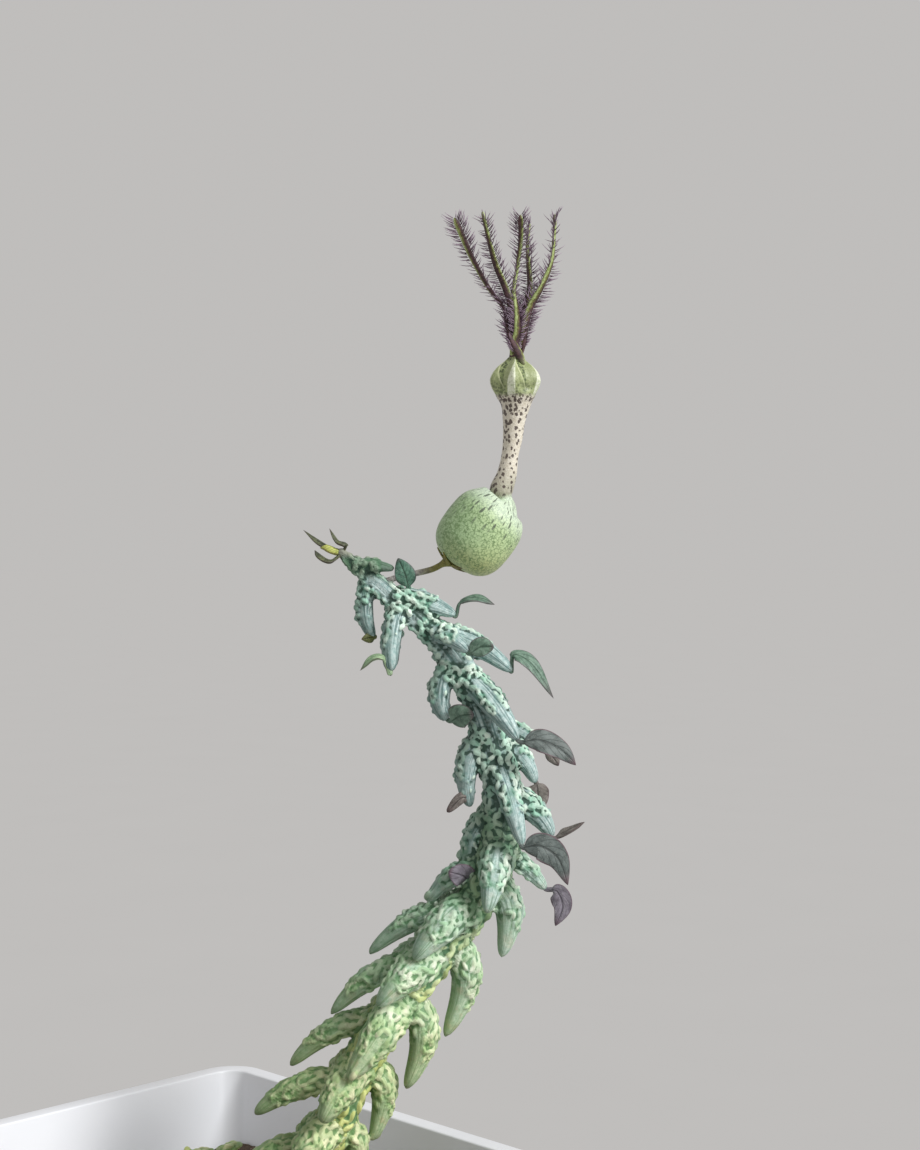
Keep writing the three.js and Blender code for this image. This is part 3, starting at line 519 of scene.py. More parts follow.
class Course:
    """A smooth curve through points, followed by a way from 0 to 1, and the way it faces."""

    def __init__(self, points, face=IN_DEPTH):
        self.face = face
        points = np.array(points, float)
        before = 2 * points[0] - points[1]
        after = 2 * points[-1] - points[-2]
        self.points = np.vstack([before, points, after])
        self.spans = len(points) - 1

    def at(self, way):
        reach = np.clip(way, 0, 1) * self.spans
        span = np.minimum(reach.astype(int), self.spans - 1)
        w = (reach - span)[:, None]
        p0, p1, p2, p3 = (self.points[span + i] for i in range(4))
        d0, d1, d2 = (
            np.linalg.norm(b - a, axis=1, keepdims=True) ** 0.5
            for a, b in ((p0, p1), (p1, p2), (p2, p3))
        )
        leave = ((p1 - p0) / d0 - (p2 - p0) / (d0 + d1) + (p2 - p1) / d1) * d1
        arrive = ((p2 - p1) / d1 - (p3 - p1) / (d1 + d2) + (p3 - p2) / d2) * d1
        square = -3 * p1 + 3 * p2 - 2 * leave - arrive
        cube = 2 * p1 - 2 * p2 + leave + arrive
        return p1 + w * (leave + w * (square + w * cube))

    def along(self, way):
        step = 1e-4
        return unit(self.at(np.minimum(way + step, 1)) - self.at(np.maximum(way - step, 0)))

    def frame(self, way):
        """Its place and direction at each way, and its two cross directions there."""
        along = self.along(way)
        across = unit(np.cross(self.face, along))
        return self.at(way), along, across, np.cross(along, across)

    def way_at_height(self, height):
        """The way along a rising curve at which it reaches a height."""
        ways = np.linspace(0, 1, 2001)
        return np.array([np.interp(height, self.at(ways)[:, 2], ways)])


class Bend(Course):
    """One plain bend from a start over a shoulder to an end."""

    def __init__(self, start, shoulder, end, face):
        self.start, self.shoulder, self.end, self.face = start, shoulder, end, face

    def at(self, way):
        w = way[:, None]
        return (1 - w) ** 2 * self.start + 2 * w * (1 - w) * self.shoulder + w * w * self.end


def store(obj, name, values):
    """Keeps one number for each vertex under a name that the material reads."""
    layer = obj.data.attributes.new(name, "FLOAT", "POINT")
    layer.data.foreach_set("value", np.asarray(values, np.float32))


def ball_of(name, segments, rings):
    """A ball, with each point's way from the lower pole, 0, to the upper, 1, and its turn."""
    add = bpy.ops.mesh.primitive_uv_sphere_add
    obj = new_piece(name, add, segments=segments, ring_count=rings, radius=1)
    spots = coordinates(obj)
    way = np.arccos(np.clip(-spots[:, 2], -1, 1)) / math.pi
    return obj, way, np.arctan2(spots[:, 1], spots[:, 0])


def off_poles(way):
    """0 at the two poles, which close a form to a point, and 1 between them."""
    return (way > 1e-6) & (way < 1 - 1e-6)


def sweep(name, segments, rings, place):
    """A closed form drawn from a ball: each of its points goes to place(way, turn). Both are kept
    for the material, the turn as its two sides."""
    obj, way, turn = ball_of(name, segments, rings)
    reshape(obj, stand(place(way, turn)))
    bpy.ops.object.shade_smooth()
    store(obj, "way", way)
    store(obj, "side", np.cos(turn))
    store(obj, "up", np.sin(turn))
    return obj


def swept(guide, half_width, half_thickness):
    """The place function of a form that follows a guide: a course, or what else has a frame."""
    def place(way, turn):
        middle, _, across, out = guide.frame(way)
        broad = np.cos(turn) * half_width(way, turn) * off_poles(way)
        thick = np.sin(turn) * half_thickness(way, turn) * off_poles(way)
        return middle + across * broad[:, None] + out * thick[:, None]
    return place


def smoothstep(value, low, high):
    """0 up to low, 1 from high on, and a soft step between them."""
    share = np.clip((value - low) / (high - low), 0, 1)
    return share * share * (3 - 2 * share)


def rounded_tip(way):
    """1 along most of a tubercle, falling to 0 in a round tip."""
    left = np.clip((way - TIP_ROUND_FROM) / (1 - TIP_ROUND_FROM), 0, 1)
    return np.sqrt(1 - left ** 2)


class Tubercle:
    """One leaf cushion: it leaves the stem at its root and bends down to its free tip."""

    def __init__(self, root, tip, girth, end, bulge, lift=0):
        way = stem_course.way_at_height(root)
        start = stem_course.at(way)[0]
        growth = stem_course.along(way)[0]
        (tip,) = at_depth([tip], PLANT_DEPTH)
        reach = tip - start
        outward = unit(reach - growth * (reach @ growth))
        aside = reach * SHOULDER_AT + outward * bulge * girth + growth * lift
        face = unit(aside - reach * (aside @ reach) / (reach @ reach))
        self.course = Bend(start, start + aside, tip, face)
        self.girth = girth
        self.end = end

    def broad(self, way, turn=0):
        swell = TUBERCLE_SWELL * self.girth
        taper = (self.end - swell) * smoothstep(way, TAPER_FROM, TAPER_TO)
        return 0.5 * (swell + taper) * rounded_tip(way)

    def thick(self, way, turn=0):
        return self.broad(way) * (TUBERCLE_FLATNESS + (1 - TUBERCLE_FLATNESS) * way)


stem_course = Course([(x, PLANT_DEPTH, z) for x, z in STEM_LINE])
mirrored = [(root, (x, -y, z), *rest) for root, (x, y, z), *rest in FACING_TUBERCLES]
tubercles = [Tubercle(*row) for row in (*SIDE_TUBERCLES, *FACING_TUBERCLES, *mirrored)]


def girth_at(height, girth):
    """The half thickness at a height, from a list of heights with their half thicknesses."""
    heights, radii = zip(*girth)
    return np.interp(height, heights, radii)


def core_radius(course, girth):
    """The half thickness of a four-edged stem, with its edges between the rows of tubercles."""
    def radius(way, turn):
        plain = girth_at(course.at(way)[:, 2], girth)
        return plain * (1 - STEM_SQUARENESS * np.cos(4 * turn))
    return radius


def join(parts, name):
    """Makes one object of several."""
    bpy.ops.object.select_all(action="DESELECT")
    for part in parts:
        part.select_set(True)
    bpy.context.view_layer.objects.active = parts[0]
    bpy.ops.object.join()
    parts[0].name = name
    return parts[0]


def smooth_form(name, course, girth, bumps):
    """The stem with its tubercles before the warts: overlapping forms melted into one skin."""
    radius = core_radius(course, girth)
    parts = [sweep(name, *CORE_GRID, swept(course, radius, radius))]
    parts += [sweep(name, *BUMP_GRID, swept(b.course, b.broad, b.thick)) for b in bumps]
    form = join(parts, name)
    apply_modifier(form, "REMESH", mode="VOXEL", voxel_size=FORM_GRAIN * MM)
    apply_modifier(form, "SMOOTH", factor=0.5, iterations=FORM_SMOOTHING)
    return form


# Warts: irregular crumbs, drawn out along the stem lower down, with small ones in the gaps between
# the large. They crowd on the two edges of each tubercle and on its shoulder, and leave its tip and
# its outer face almost bare.
WART_SIZE = (0.52, 0.18)
WART_TILT = 0.22
WART_WIDTH = (0.62, 0.95)
WART_HEIGHT = (0.85, 1.35)
LOW_WART_SINK = 0.35
WART_SPACING = 0.84
WART_TRIES = 2200
WART_WAYS = (0.08, 0.82)
WART_TURNS = (-2.7, 2.7)
WARTS_SHRINK_FROM = 0.35
WARTS_SHRINK_BY = 0.75
EDGE_TRIES = 7000
EDGE_TURN = 0.8
EDGE_PAST_END = 0.08
EDGE_WART_SHARE = (0.4, 0.24)
EDGE_SEARCH = 1.2
FLANK_CHANCE = 0.9
SHOULDER_CHANCE = 0.7
STRAY_CHANCE = 0.006
LOW_STRAY_CHANCE = 0.06
UPPER_STEM = 142
LOWER_STEM = 96

# What changes down the stem: its value on the upper stem, and how much is added low down
WART_LENGTH = (1.35, 0.55)
WART_STRAY = (0.9, -0.5)
WARTS_END = (0.6, 0.1)
EDGE_BREADTH = (0.22, 0.14)
EDGE_STRAY = (0.07, 0.19)
FLANK_TURN = (1.1, 0.6)
FLANK_END = (0.17, 0.23)
SHOULDER_END = (0.14, 0.32)
SEARCH_REACH = (1.2, 0.4)
WART_GROWTH = (1, 0.2)
EDGE_GROWTH = (1, 0.25)


def low_share(height):
    """0 on the upper stem, 1 low down, where the warts are coarser, flatter and more even."""
    return np.clip((UPPER_STEM - height) / (UPPER_STEM - LOWER_STEM), 0, 1)


def lowered(change, low):
    """A value that changes down the stem."""
    upper, added = change
    return upper + added * low


class WartField:
    """The warts that have been set so far, with the surface that they are set on."""

    def __init__(self, form, random):
        self.surface = BVHTree.FromObject(form, bpy.context.evaluated_depsgraph_get())
        self.random = random
        self.cells = {}
        self.warts = []

    def crowded(self, spot, size):
        x, y, z = map(math.floor, spot)
        for dx in (-1, 0, 1):
            for dy in (-1, 0, 1):
                for dz in (-1, 0, 1):
                    for other, other_size in self.cells.get((x + dx, y + dy, z + dz), ()):
                        if np.linalg.norm(other - spot) < WART_SPACING * (size + other_size):
                            return True
        return False

    def try_at(self, middle, direction, along, longest, size):
        """Sets a wart where a line from inside the stem comes out through the skin."""
        start = Vector(stand(middle))
        aim = Vector(stand(direction) / MM)
        hit, normal, _, _ = self.surface.ray_cast(start, aim, longest * MM)
        if hit is None:
            return
        spot = np.array(hit) / MM
        if self.crowded(spot, size):
            return
        cell = tuple(map(math.floor, spot))
        self.cells.setdefault(cell, []).append((spot, size))
        self.warts.append((np.array(hit), np.array(normal), stand(along) / MM, size))

    def solid(self):
        """All the warts as one mesh, each a ball squeezed and tilted its own way."""
        model = new_piece("wart", bpy.ops.mesh.primitive_ico_sphere_add, subdivisions=2, radius=1)
        origins = []
        axes = []
        for hit, normal, along, size in self.warts:
            low = low_share(hit[2] / MM)
            up = unit(normal + self.random.normal(size=3) * WART_TILT)
            drawn = along + self.random.normal(size=3) * lowered(WART_STRAY, low)
            side = unit(np.cross(np.cross(up, drawn), up))
            wide, high = (self.random.uniform(*span) for span in (WART_WIDTH, WART_HEIGHT))
            squeeze = np.array((lowered(WART_LENGTH, low), wide, high))
            turn = np.array((side, np.cross(up, side), up))
            axes.append(size * MM * squeeze[:, None] * turn)
            origins.append(hit - normal * LOW_WART_SINK * low * size * MM)
        return strew("warts", model, np.array(origins), np.array(axes))


def wart_chance(way, turn, height):
    """How likely a spot on a tubercle carries a wart. Turn is 0 on its outer face."""
    low = low_share(height)
    last = lowered(WARTS_END, low)
    off = np.abs(turn)
    on_edge = np.exp(-((off - EDGE_TURN) / lowered(EDGE_BREADTH, low)) ** 2)
    on_edge = on_edge * (way < last + EDGE_PAST_END)
    below_edge = (off > EDGE_TURN) & (off < lowered(FLANK_TURN, low))
    on_flank = FLANK_CHANCE * (below_edge & (way < lowered(FLANK_END, low)))
    on_shoulder = SHOULDER_CHANCE * (way < lowered(SHOULDER_END, low))
    anywhere = STRAY_CHANCE + LOW_STRAY_CHANCE * low * (way < last)
    return np.clip(np.maximum.reduce([on_edge, on_flank, on_shoulder]) + anywhere, 0, 1)


def sow_on_tubercle(field, bump):
    """Warts on one tubercle."""
    random = field.random
    way = random.uniform(*WART_WAYS, WART_TRIES)
    turn = random.uniform(*WART_TURNS, WART_TRIES)
    middle, along, across, out = bump.course.frame(way)
    direction = across * np.sin(turn)[:, None] + out * np.cos(turn)[:, None]
    kept = random.random(WART_TRIES) < wart_chance(way, turn, middle[:, 2])
    low = low_share(middle[:, 2])
    reach = lowered(SEARCH_REACH, low) * bump.broad(way) + 0.6 + 0.5 * low
    for i in np.flatnonzero(kept):
        fullness = 1 - WARTS_SHRINK_BY * max(0, way[i] - WARTS_SHRINK_FROM)
        size = fullness * np.interp(i / WART_TRIES, (0, 1), WART_SIZE)
        size *= lowered(WART_GROWTH, low[i])
        field.try_at(middle[i], direction[i], along[i], reach[i], size)


def sow_on_edges(field, course, warty, girth):
    """Strings of warts down the stem's four edges, with a few between them lower down."""
    random = field.random
    way = random.uniform(*warty, EDGE_TRIES)
    edge = (random.integers(0, 4, EDGE_TRIES) + 0.5) * math.pi / 2
    height = course.at(way)[:, 2]
    low = low_share(height)
    turn = edge + random.normal(size=EDGE_TRIES) * lowered(EDGE_STRAY, low)
    middle, along, across, out = course.frame(way)
    direction = across * np.cos(turn)[:, None] + out * np.sin(turn)[:, None]
    radius = girth_at(height, girth)
    least, for_radius = EDGE_WART_SHARE
    for i in range(EDGE_TRIES):
        size = np.interp(i / EDGE_TRIES, (0, 1), WART_SIZE) * (least + for_radius * radius[i])
        size *= lowered(EDGE_GROWTH, low[i])
        field.try_at(middle[i], direction[i], along[i], radius[i] + EDGE_SEARCH, size)


# Each point of the finished skin is told where it lies: how far it stands out of the smooth form,
# how thickly set the warts are, how sunk it is and how far it faces away from the lamp, both of which
# the material turns into painted shade, how far down its tubercle, and at which strand round it.
WART_FULL_HEIGHT = 0.3
CROWD_REACH = 1.4
CROWD_FULL = 4.6
CAVITY_REACH = 3
SHADE_SIDE_BLUR = 6
SHADE_SIDE_ASIDE = 0.6
SHADE_SIDE_FROM = 1.5
SHADE_SIDE_SPAN = 4
HOLLOW_FULL = 0.06
POINTS_AT_ONCE = 4000
CORE_STEPS = 260
BUMP_WAYS = (0.12, 1, 24)


def neighbours_mean(obj, values, rounds):
    """Values averaged over the neighbouring vertices, a number of rounds."""
    edges = np.empty(2 * len(obj.data.edges), np.int32)
    obj.data.edges.foreach_get("vertices", edges)
    one, other = edges.reshape(-1, 2).T
    count = np.bincount(np.concatenate([one, other]), minlength=len(values)).astype(float)[:, None]
    for _ in range(rounds):
        total = np.zeros_like(values)
        for axis in range(values.shape[1]):
            total[:, axis] = np.bincount(one, values[other, axis], len(values))
            total[:, axis] += np.bincount(other, values[one, axis], len(values))
        values = total / count
    return values


def note_skin(obj, field, course, bumps, girth):
    """Works out and stores what the stem's material reads."""
    places = coordinates(obj)
    near = KDTree(len(field.warts))
    for i, (hit, *_) in enumerate(field.warts):
        near.insert(hit, i)
    near.balance()
    raised, crowd, tint, painted_shade_side, tipward, strand = np.empty((6, len(places)))
    tints = np.random.default_rng(len(field.warts)).random(len(field.warts))
    right_x, right_y, _ = RIGHTWARDS
    for i, spot in enumerate(places):
        _, facing, _, rise_over = field.surface.find_nearest(spot)
        _, wart, _ = near.find(spot)
        raised[i] = rise_over / (WART_FULL_HEIGHT * MM)
        within = near.find_range(spot, CROWD_REACH * MM)
        crowd[i] = sum(1 - far / (CROWD_REACH * MM) for _, _, far in within)
        tint[i] = tints[wart]
        # How far the skin faces away from the lamp's side; the material paints shade there.
        painted_shade_side[i] = -(facing[0] * right_x + facing[1] * right_y)
    normals = np.empty(3 * len(places), np.float32)
    obj.data.vertex_normals.foreach_get("vector", normals)
    sunk = ((neighbours_mean(obj, places, CAVITY_REACH) - places) * normals.reshape(-1, 3)).sum(axis=1)

    core_ways = np.linspace(0, 1, CORE_STEPS)
    middle, _, across, out = course.frame(core_ways)
    right = (places[:, 0] * right_x + places[:, 1] * right_y) / MM
    left_by = np.interp(places[:, 2] / MM, middle[:, 2], middle[:, 0]) - right
    # Points that lie left of the stem get still more painted shade.
    painted_shade_side += SHADE_SIDE_ASIDE * np.clip((left_by - SHADE_SIDE_FROM) / SHADE_SIDE_SPAN, 0, 1)
    rows = [(middle, across, out, girth_at(middle[:, 2], girth), core_ways * 0 - 1)]
    for bump in bumps:
        ways = np.linspace(*BUMP_WAYS)
        middle, _, across, out = bump.course.frame(ways)
        rows.append((middle, across, out, bump.broad(ways), ways))
    middle, across, out, radius, ways = (np.concatenate(parts) for parts in zip(*rows))
    middle, across, out = (stand(line) / MM for line in (middle, across, out))
    points = places / MM
    for start in range(0, len(points), POINTS_AT_ONCE):
        chunk = slice(start, start + POINTS_AT_ONCE)
        part = points[chunk]
        gaps = np.linalg.norm(part[:, None] - middle[None], axis=2) - radius[None]
        best = gaps.argmin(axis=1)
        offset = part - middle[best]
        tipward[chunk] = ways[best]
        strand[chunk] = np.arctan2((offset * across[best]).sum(1), (offset * out[best]).sum(1))
    stored = {
        "raised": np.clip(raised, 0, 1.5), "crowd": crowd / CROWD_FULL, "tint": tint,
        "painted_shade_side": neighbours_mean(obj, painted_shade_side[:, None], SHADE_SIDE_BLUR)[:, 0],
        "hollow": sunk / (HOLLOW_FULL * MM), "tipward": tipward, "strand": strand,
    }
    for name, values in stored.items():
        store(obj, name, values)


def paint_stem():
    """Waxy skin: smooth blue-grey faces with fine lengthwise lines, mint to cream warts with their
    feet darker and dark green painted shade in the clefts between them, painted shade on the side
    away from the lamp, and all of it yellower and greener lower down."""
    skin = Finish("stem_skin")
    height = skin.height()
    patches = skin.noise(0.35, 3)
    lowness = skin.ease(height + (patches - 0.5) * 16, 130, 101)
    raised, crowd, tint, painted_shade_side = skin.attributes("raised", "crowd", "tint", "painted_shade_side")
    hollow, tipward, strand = skin.attributes("hollow", "tipward", "strand")
    strands = {0: strand * 3.4, 1: tipward * 1.1, 2: height * 0.03}
    lines = skin.noise(1.5, 3, 0.6, skin.node("ShaderNodeCombineXYZ", {}, strands))
    mottle = skin.noise(1.8, 5, 0.7)
    pale = skin.ease(mottle, 0.3, 0.7)
    core = skin.ease(tipward, 0, -0.5)
    blue = skin.mix(pale, "98B9B6", "D8E9E6")
    green = skin.mix(pale, "ACCEAC", "D8EDD4")
    bare = skin.mix(pale, "639878", "98C4A2")
    pink = skin.ease(skin.noise(0.55, 4, 0.6), 0.5, 0.68) * lowness
    face = skin.layers(
        skin.mix(lowness, blue, skin.mix(core * 0.8, green, bare)),
        (pink * 0.45, "DCCBB2"),
        (skin.ease(lines, 0.5, 0.38) * (0.8 - lowness * 0.25), skin.mix(lowness, "486B69", "7BA36B")),
    )
    # The warts' feet and the gaps between them: their own darker green, and partly painted shade.
    wart_foot_tone_and_shade = skin.mix(lowness, "68A088", "8CB984")
    wart_top = skin.mix(
        lowness,
        skin.mix(tint, "9ED0B8", "E8F9EA"),
        skin.mix(core * 0.75, skin.mix(tint, "ABD09C", "EEF5DC"), "D9E496"),
    )
    knobs = skin.cells(2.7, None, "SMOOTH_F1")
    standing = raised + (0.4 - knobs) * 0.5 + (mottle - 0.5) * 0.5 + lowness * 0.12
    warts = skin.mix(skin.ease(standing, 0.06, 0.7), wart_foot_tone_and_shade, wart_top)
    clouds = skin.ease(skin.noise(0.2, 3, 0.6), 0.42, 0.62)
    # Painted shade on the side away from the lamp, merged with darker clouds of random tone.
    shade = skin.ease(painted_shade_side + (mottle - 0.5) * 0.5, 0, 0.85)
    clouds_and_painted_shade = skin.maths("MAXIMUM", clouds * 0.4, shade)
    warty = skin.ease(crowd + (mottle - 0.5) * 0.35, 0.3, 0.62)
    # Darker olive green on the core and the tubercles' roots, 109 to 132 mm up.
    darker_at_roots = skin.ease(tipward, 0.46, 0.2) * skin.ease(height, 109, 114) * skin.ease(height, 132, 126)
    young = skin.ease(height + (mottle - 0.5) * 1.5, 159.8, 161.4)
    # Painted shade in the sunk clefts between the warts, darkest where the skin is most hollow.
    painted_cleft_shade = skin.ease(hollow + (mottle - 0.5) * 0.7 + (knobs - 0.4) * 0.6, 0.16, 0.82)
    body = skin.layers(
        skin.mix(warty, face, warts),
        (skin.ease(raised, 0.35, 0.75), warts),
        (clouds_and_painted_shade * 0.62, skin.mix(lowness, "3A5A50", "4E7248")),
        (darker_at_roots * (0.35 + patches * 0.5), "4A6B3C"),
        (young * 0.7, "46643C"),
        (skin.ease(height, 163, 164) * 0.6, "A8A194"),
        (painted_cleft_shade * (0.92 - lowness * 0.26), skin.mix(lowness, "29483A", "4C7A47")),
    )
    yellowed = skin.ease(height + (patches - 0.5) * 14, 107, 93)
    body = skin.mix(yellowed * 0.6, body, "F8EEC0", "MULTIPLY")
    body = skin.mix(skin.ease(tipward, 0.955, 0.99) * 0.7, body, "B59A86")
    roughness = 0.62 - raised * 0.12 + mottle * 0.1
    skin.cover(body, roughness, mottle * 0.4 + lines * 0.9 - knobs * warty * 0.9, 0.2)
    return skin


SKIN_GRAIN = 0.18
STEM_WARTY = (0.1, 0.965)
STEM_SEED = 11
STEM_FACES = 186000


def grow(name, course, girth, bumps, warty, seed, most_faces):
    """A whole stem: smooth form, warts, one merged skin, and what its material reads."""
    form = smooth_form(name + "_form", course, girth, bumps)
    field = WartField(form, np.random.default_rng(seed))
    sow_on_edges(field, course, warty, girth)
    for bump in bumps:
        sow_on_tubercle(field, bump)
    stem = join([form, field.solid()], name)
    apply_modifier(stem, "REMESH", mode="VOXEL", voxel_size=SKIN_GRAIN * MM)
    apply_modifier(stem, "SMOOTH", factor=0.5, iterations=1)
    faces = 2 * len(stem.data.polygons)
    if faces > most_faces:
        apply_modifier(stem, "DECIMATE", ratio=most_faces / faces)
    bpy.ops.object.select_all(action="DESELECT")
    stem.select_set(True)
    bpy.ops.object.shade_smooth()
    note_skin(stem, field, course, bumps, girth)
    return stem


stem = grow("warty_stem", stem_course, STEM_GIRTH, tubercles, STEM_WARTY, STEM_SEED, STEM_FACES)
stem_skin = paint_stem()
put(stem, stem_skin, "stem_skin", "stem")


# The side shoot: a short stem of the same kind that creeps over the soil behind the main one, with
# small tubercles in crossed pairs. It is grown and coloured like the main stem.
SHOOT_DEPTH = 25
SHOOT_LINE = ((15, 61), (15, 68), (14.3, 72), (11, 74.4), (6, 75.2), (1, 75.4), (-3.4, 76.6))
SHOOT_GIRTH = ((60, 1.9), (70, 1.9), (75, 1.8), (76, 1.5), (77, 1.0))
SHOOT_PAIRS = 5
SHOOT_BARE_PART = 0.42
SHOOT_LEAFY_PART = 0.5
SHOOT_BUMP_BACK = 3.6
SHOOT_BUMP_REACH = 3.4
SHOOT_SHOULDER = 2.6
SHOOT_BUMP_GIRTH = (1.25, 0.35)
LOWEST_BUMP_TIP = 70.8
SHOOT_WARTY = (0.36, 0.95)
SHOOT_SEED = 23
SHOOT_FACES = 90000


class SmallTubercle:
    """A leaf cushion of the side shoot: it bends outwards and back along the shoot."""

    def __init__(self, place, growth, aside):
        tip = place - growth * SHOOT_BUMP_BACK + aside * SHOOT_BUMP_REACH
        self.course = Bend(place, place + aside * SHOOT_SHOULDER, tip, aside)

    def broad(self, way, turn=0):
        root, end = SHOOT_BUMP_GIRTH
        return (root + (end - root) * way ** 2) * rounded_tip(way)

    thick = broad


shoot_course = Course([(x, SHOOT_DEPTH, z) for x, z in SHOOT_LINE])
small_tubercles = []
for pair in range(SHOOT_PAIRS):
    pair_way = np.array([SHOOT_BARE_PART + SHOOT_LEAFY_PART * pair / (SHOOT_PAIRS - 1)])
    pair_across = np.array((0, 0.25, 0.97) if pair % 2 else (0, 1, 0))
    for side in (1, -1):
        aside = unit(side * pair_across + np.array((0, 0, 0.25)))
        bump = SmallTubercle(shoot_course.at(pair_way)[0], shoot_course.along(pair_way)[0], aside)
        if bump.course.end[2] > LOWEST_BUMP_TIP:
            small_tubercles.append(bump)
shoot = grow(
    "side_shoot", shoot_course, SHOOT_GIRTH, small_tubercles, SHOOT_WARTY, SHOOT_SEED, SHOOT_FACES
)
put(shoot, stem_skin, "stem_skin", "side_stem")


# The leaves: small fleshy blades on short stalks, grown out of the tips of the upper tubercles. They
# are green near the top and grey with brown and purple margins further down; three slender young
# ones and a bud close the growing tip.
FACING = (0, -1, 0)
UPWARD = (-0.25, -0.45, 1)

# Each leaf: the points of its midrib (x, depth from the stem, z), its width, the way it faces, its
# finish, how far its stalk goes, how full its outline is, and its cup (plus up, minus down)
LEAVES = (
    (((29.8, -1.2, 158.9), (29.3, -1.7, 160.9), (28.3, -1.7, 163.2)),
     2.9, FACING, "green_leaf", 0.1, 0.75, 0.12),
    (((25.0, 0.8, 152.3), (24.3, 0.3, 152.2), (23.2, -0.2, 152)),
     1.5, FACING, "olive_leaf", 0.1, 0.8, 0.1),
    (((36.2, -0.6, 155.1), (36.8, -0.7, 157), (39, -0.9, 157.6), (41.6, -1, 156.8)),
     2.1, UPWARD, "sage_leaf", 0.32, 0.9, 0.2),
    (((27.3, -3.8, 147.4), (26.4, -3.9, 149.6), (25, -4, 149.6), (23.2, -4, 147.9)),
     1.9, UPWARD, "pale_leaf", 0.25, 1, 0.2),
    (((38, -4.4, 150.3), (39.6, -4.9, 151.2), (41.4, -5, 151.2)),
     2.7, FACING, "sage_leaf", 0.12, 0.6, 0.12),
    (((43.9, 1.6, 147.4), (44.2, 1.5, 149.6), (46.3, 1.3, 148.7), (49.8, 1, 143.7)),
     2.8, (0.5, -0.7, 0.6), "sage_leaf", 0.26, 0.9, 0.2),
    (((35.4, -0.9, 140.8), (36.8, -2.4, 141.6), (38.7, -3.6, 142)),
     3.5, FACING, "sage_leaf", 0.1, 0.65, 0.12),
    (((44.9, -5.4, 138.4), (47.4, -5.6, 138.6), (50.2, -5.5, 137.4), (52.5, -5.3, 135.2)),
     3.5, (0.2, -0.9, 0.4), "grey_leaf", 0.08, 0.85, 0.1),
    (((48.6, 3.2, 136.2), (49.7, 3.4, 135.4), (50.6, 3.4, 134.1)),
     1.7, FACING, "brown_leaf", 0.1, 0.7, 0.1),
    (((47.4, 1.3, 131.9), (47.6, 0.6, 130.4), (48.2, 0.1, 128.8)),
     3.2, FACING, "brown_leaf", 0.02, 0.45, 0.1),
    (((38.3, -1.1, 129.6), (37.2, -1.9, 130.4), (35, -2.2, 128.4)),
     1.6, FACING, "brown_leaf", 0.15, 0.45, 0.1),
    (((45.2, -5.8, 124.2), (47.5, -6.2, 124.4), (49.9, -6.1, 122.8), (51.4, -5.8, 119)),
     3.9, (0.1, -0.95, 0.2), "grey_leaf", 0.05, 0.85, 0.1),
    (((49.6, -0.8, 124.7), (51.6, -0.9, 125.5), (54, -1, 126.9)),
     1.7, UPWARD, "brown_leaf", 0.1, 0.9, 0.3),
    (((38, -0.6, 119), (37.1, -2.6, 119.8), (35.2, -3, 120.4)),
     3.4, FACING, "lilac_leaf", 0.08, 0.6, 0.15),
    (((48.8, 1.2, 117.2), (50.1, 0.8, 117.1), (51, 0.6, 115), (50, 0.5, 112.2)),
     2.9, FACING, "lilac_leaf", 0.2, 0.8, 0.1),
    (((20.3, 0.2, 164.2), (17.7, 0.6, 165), (15.1, 0.8, 167.1)),
     1, UPWARD, "young_leaf", 0.1, 0.9, 0.2),
    (((20.6, 0, 163.9), (21, -0.3, 164.9), (19.9, -0.4, 165.4), (18.8, -0.4, 167.3)),
     1, UPWARD, "young_leaf", 0.1, 0.9, 0.2),
    (((20.3, -0.4, 163.6), (18.9, -0.9, 162.7), (17.4, -0.8, 163.4), (16.8, -0.7, 164.3)),
     1.1, UPWARD, "young_leaf", 0.1, 0.9, 0.2),
    (((20.4, 0, 163.7), (19.4, -0.2, 164.2), (18.4, -0.3, 164.6), (17.5, -0.3, 164.6)),
     1.3, UPWARD, "tip_bud", 0, 0.9, -0.3),
)
LEAF_TONES = {
    # blade in the dark and the light, its veins, its margin
    "green_leaf": ("34584A", "64907A", "24402F", "4E4048"),
    "sage_leaf": ("466252", "7A9784", "36503F", "5E4A54"),
    "pale_leaf": ("7D9C77", "A9C39A", "5E7B58", "5B5148"),
    "olive_leaf": ("6A7242", "969A63", "4D5230", "5A4A32"),
    "grey_leaf": ("454F4C", "6D7774", "343B39", "6A4E58"),
    "brown_leaf": ("5A534F", "857E78", "433D3B", "5A4648"),
    "lilac_leaf": ("655F69", "8D8792", "4C4651", "68505C"),
    "young_leaf": ("3A3F2F", "69704C", "2B2E23", "4C3A36"),
    "tip_bud": ("98A243", "C8CC70", "6F7C3C", "6E6038"),
}
LEAF_HALF_THICKNESS = 0.3
STALK_HALF_WIDTH = 0.34
STALK_FADES = (0.3, 0.6)
BLADE_OPENS_OVER = 0.3
THIN_UNDER = 0.5
NEAR_TIP = 2.2
LEAF_ROOT = 0.92
LEAF_GRID = (40, 56)
WAVE_STEP = 2.3
BUD_HALF_THICKNESS = 0.5
LEAF_WIDEST = 0.8
LEAF_EDGE = 0.4
RIB_SINK = 0.09
RIB_WIDTH = 0.14
MARGIN_WAVE = 0.12
MARGIN_WAVES = 9


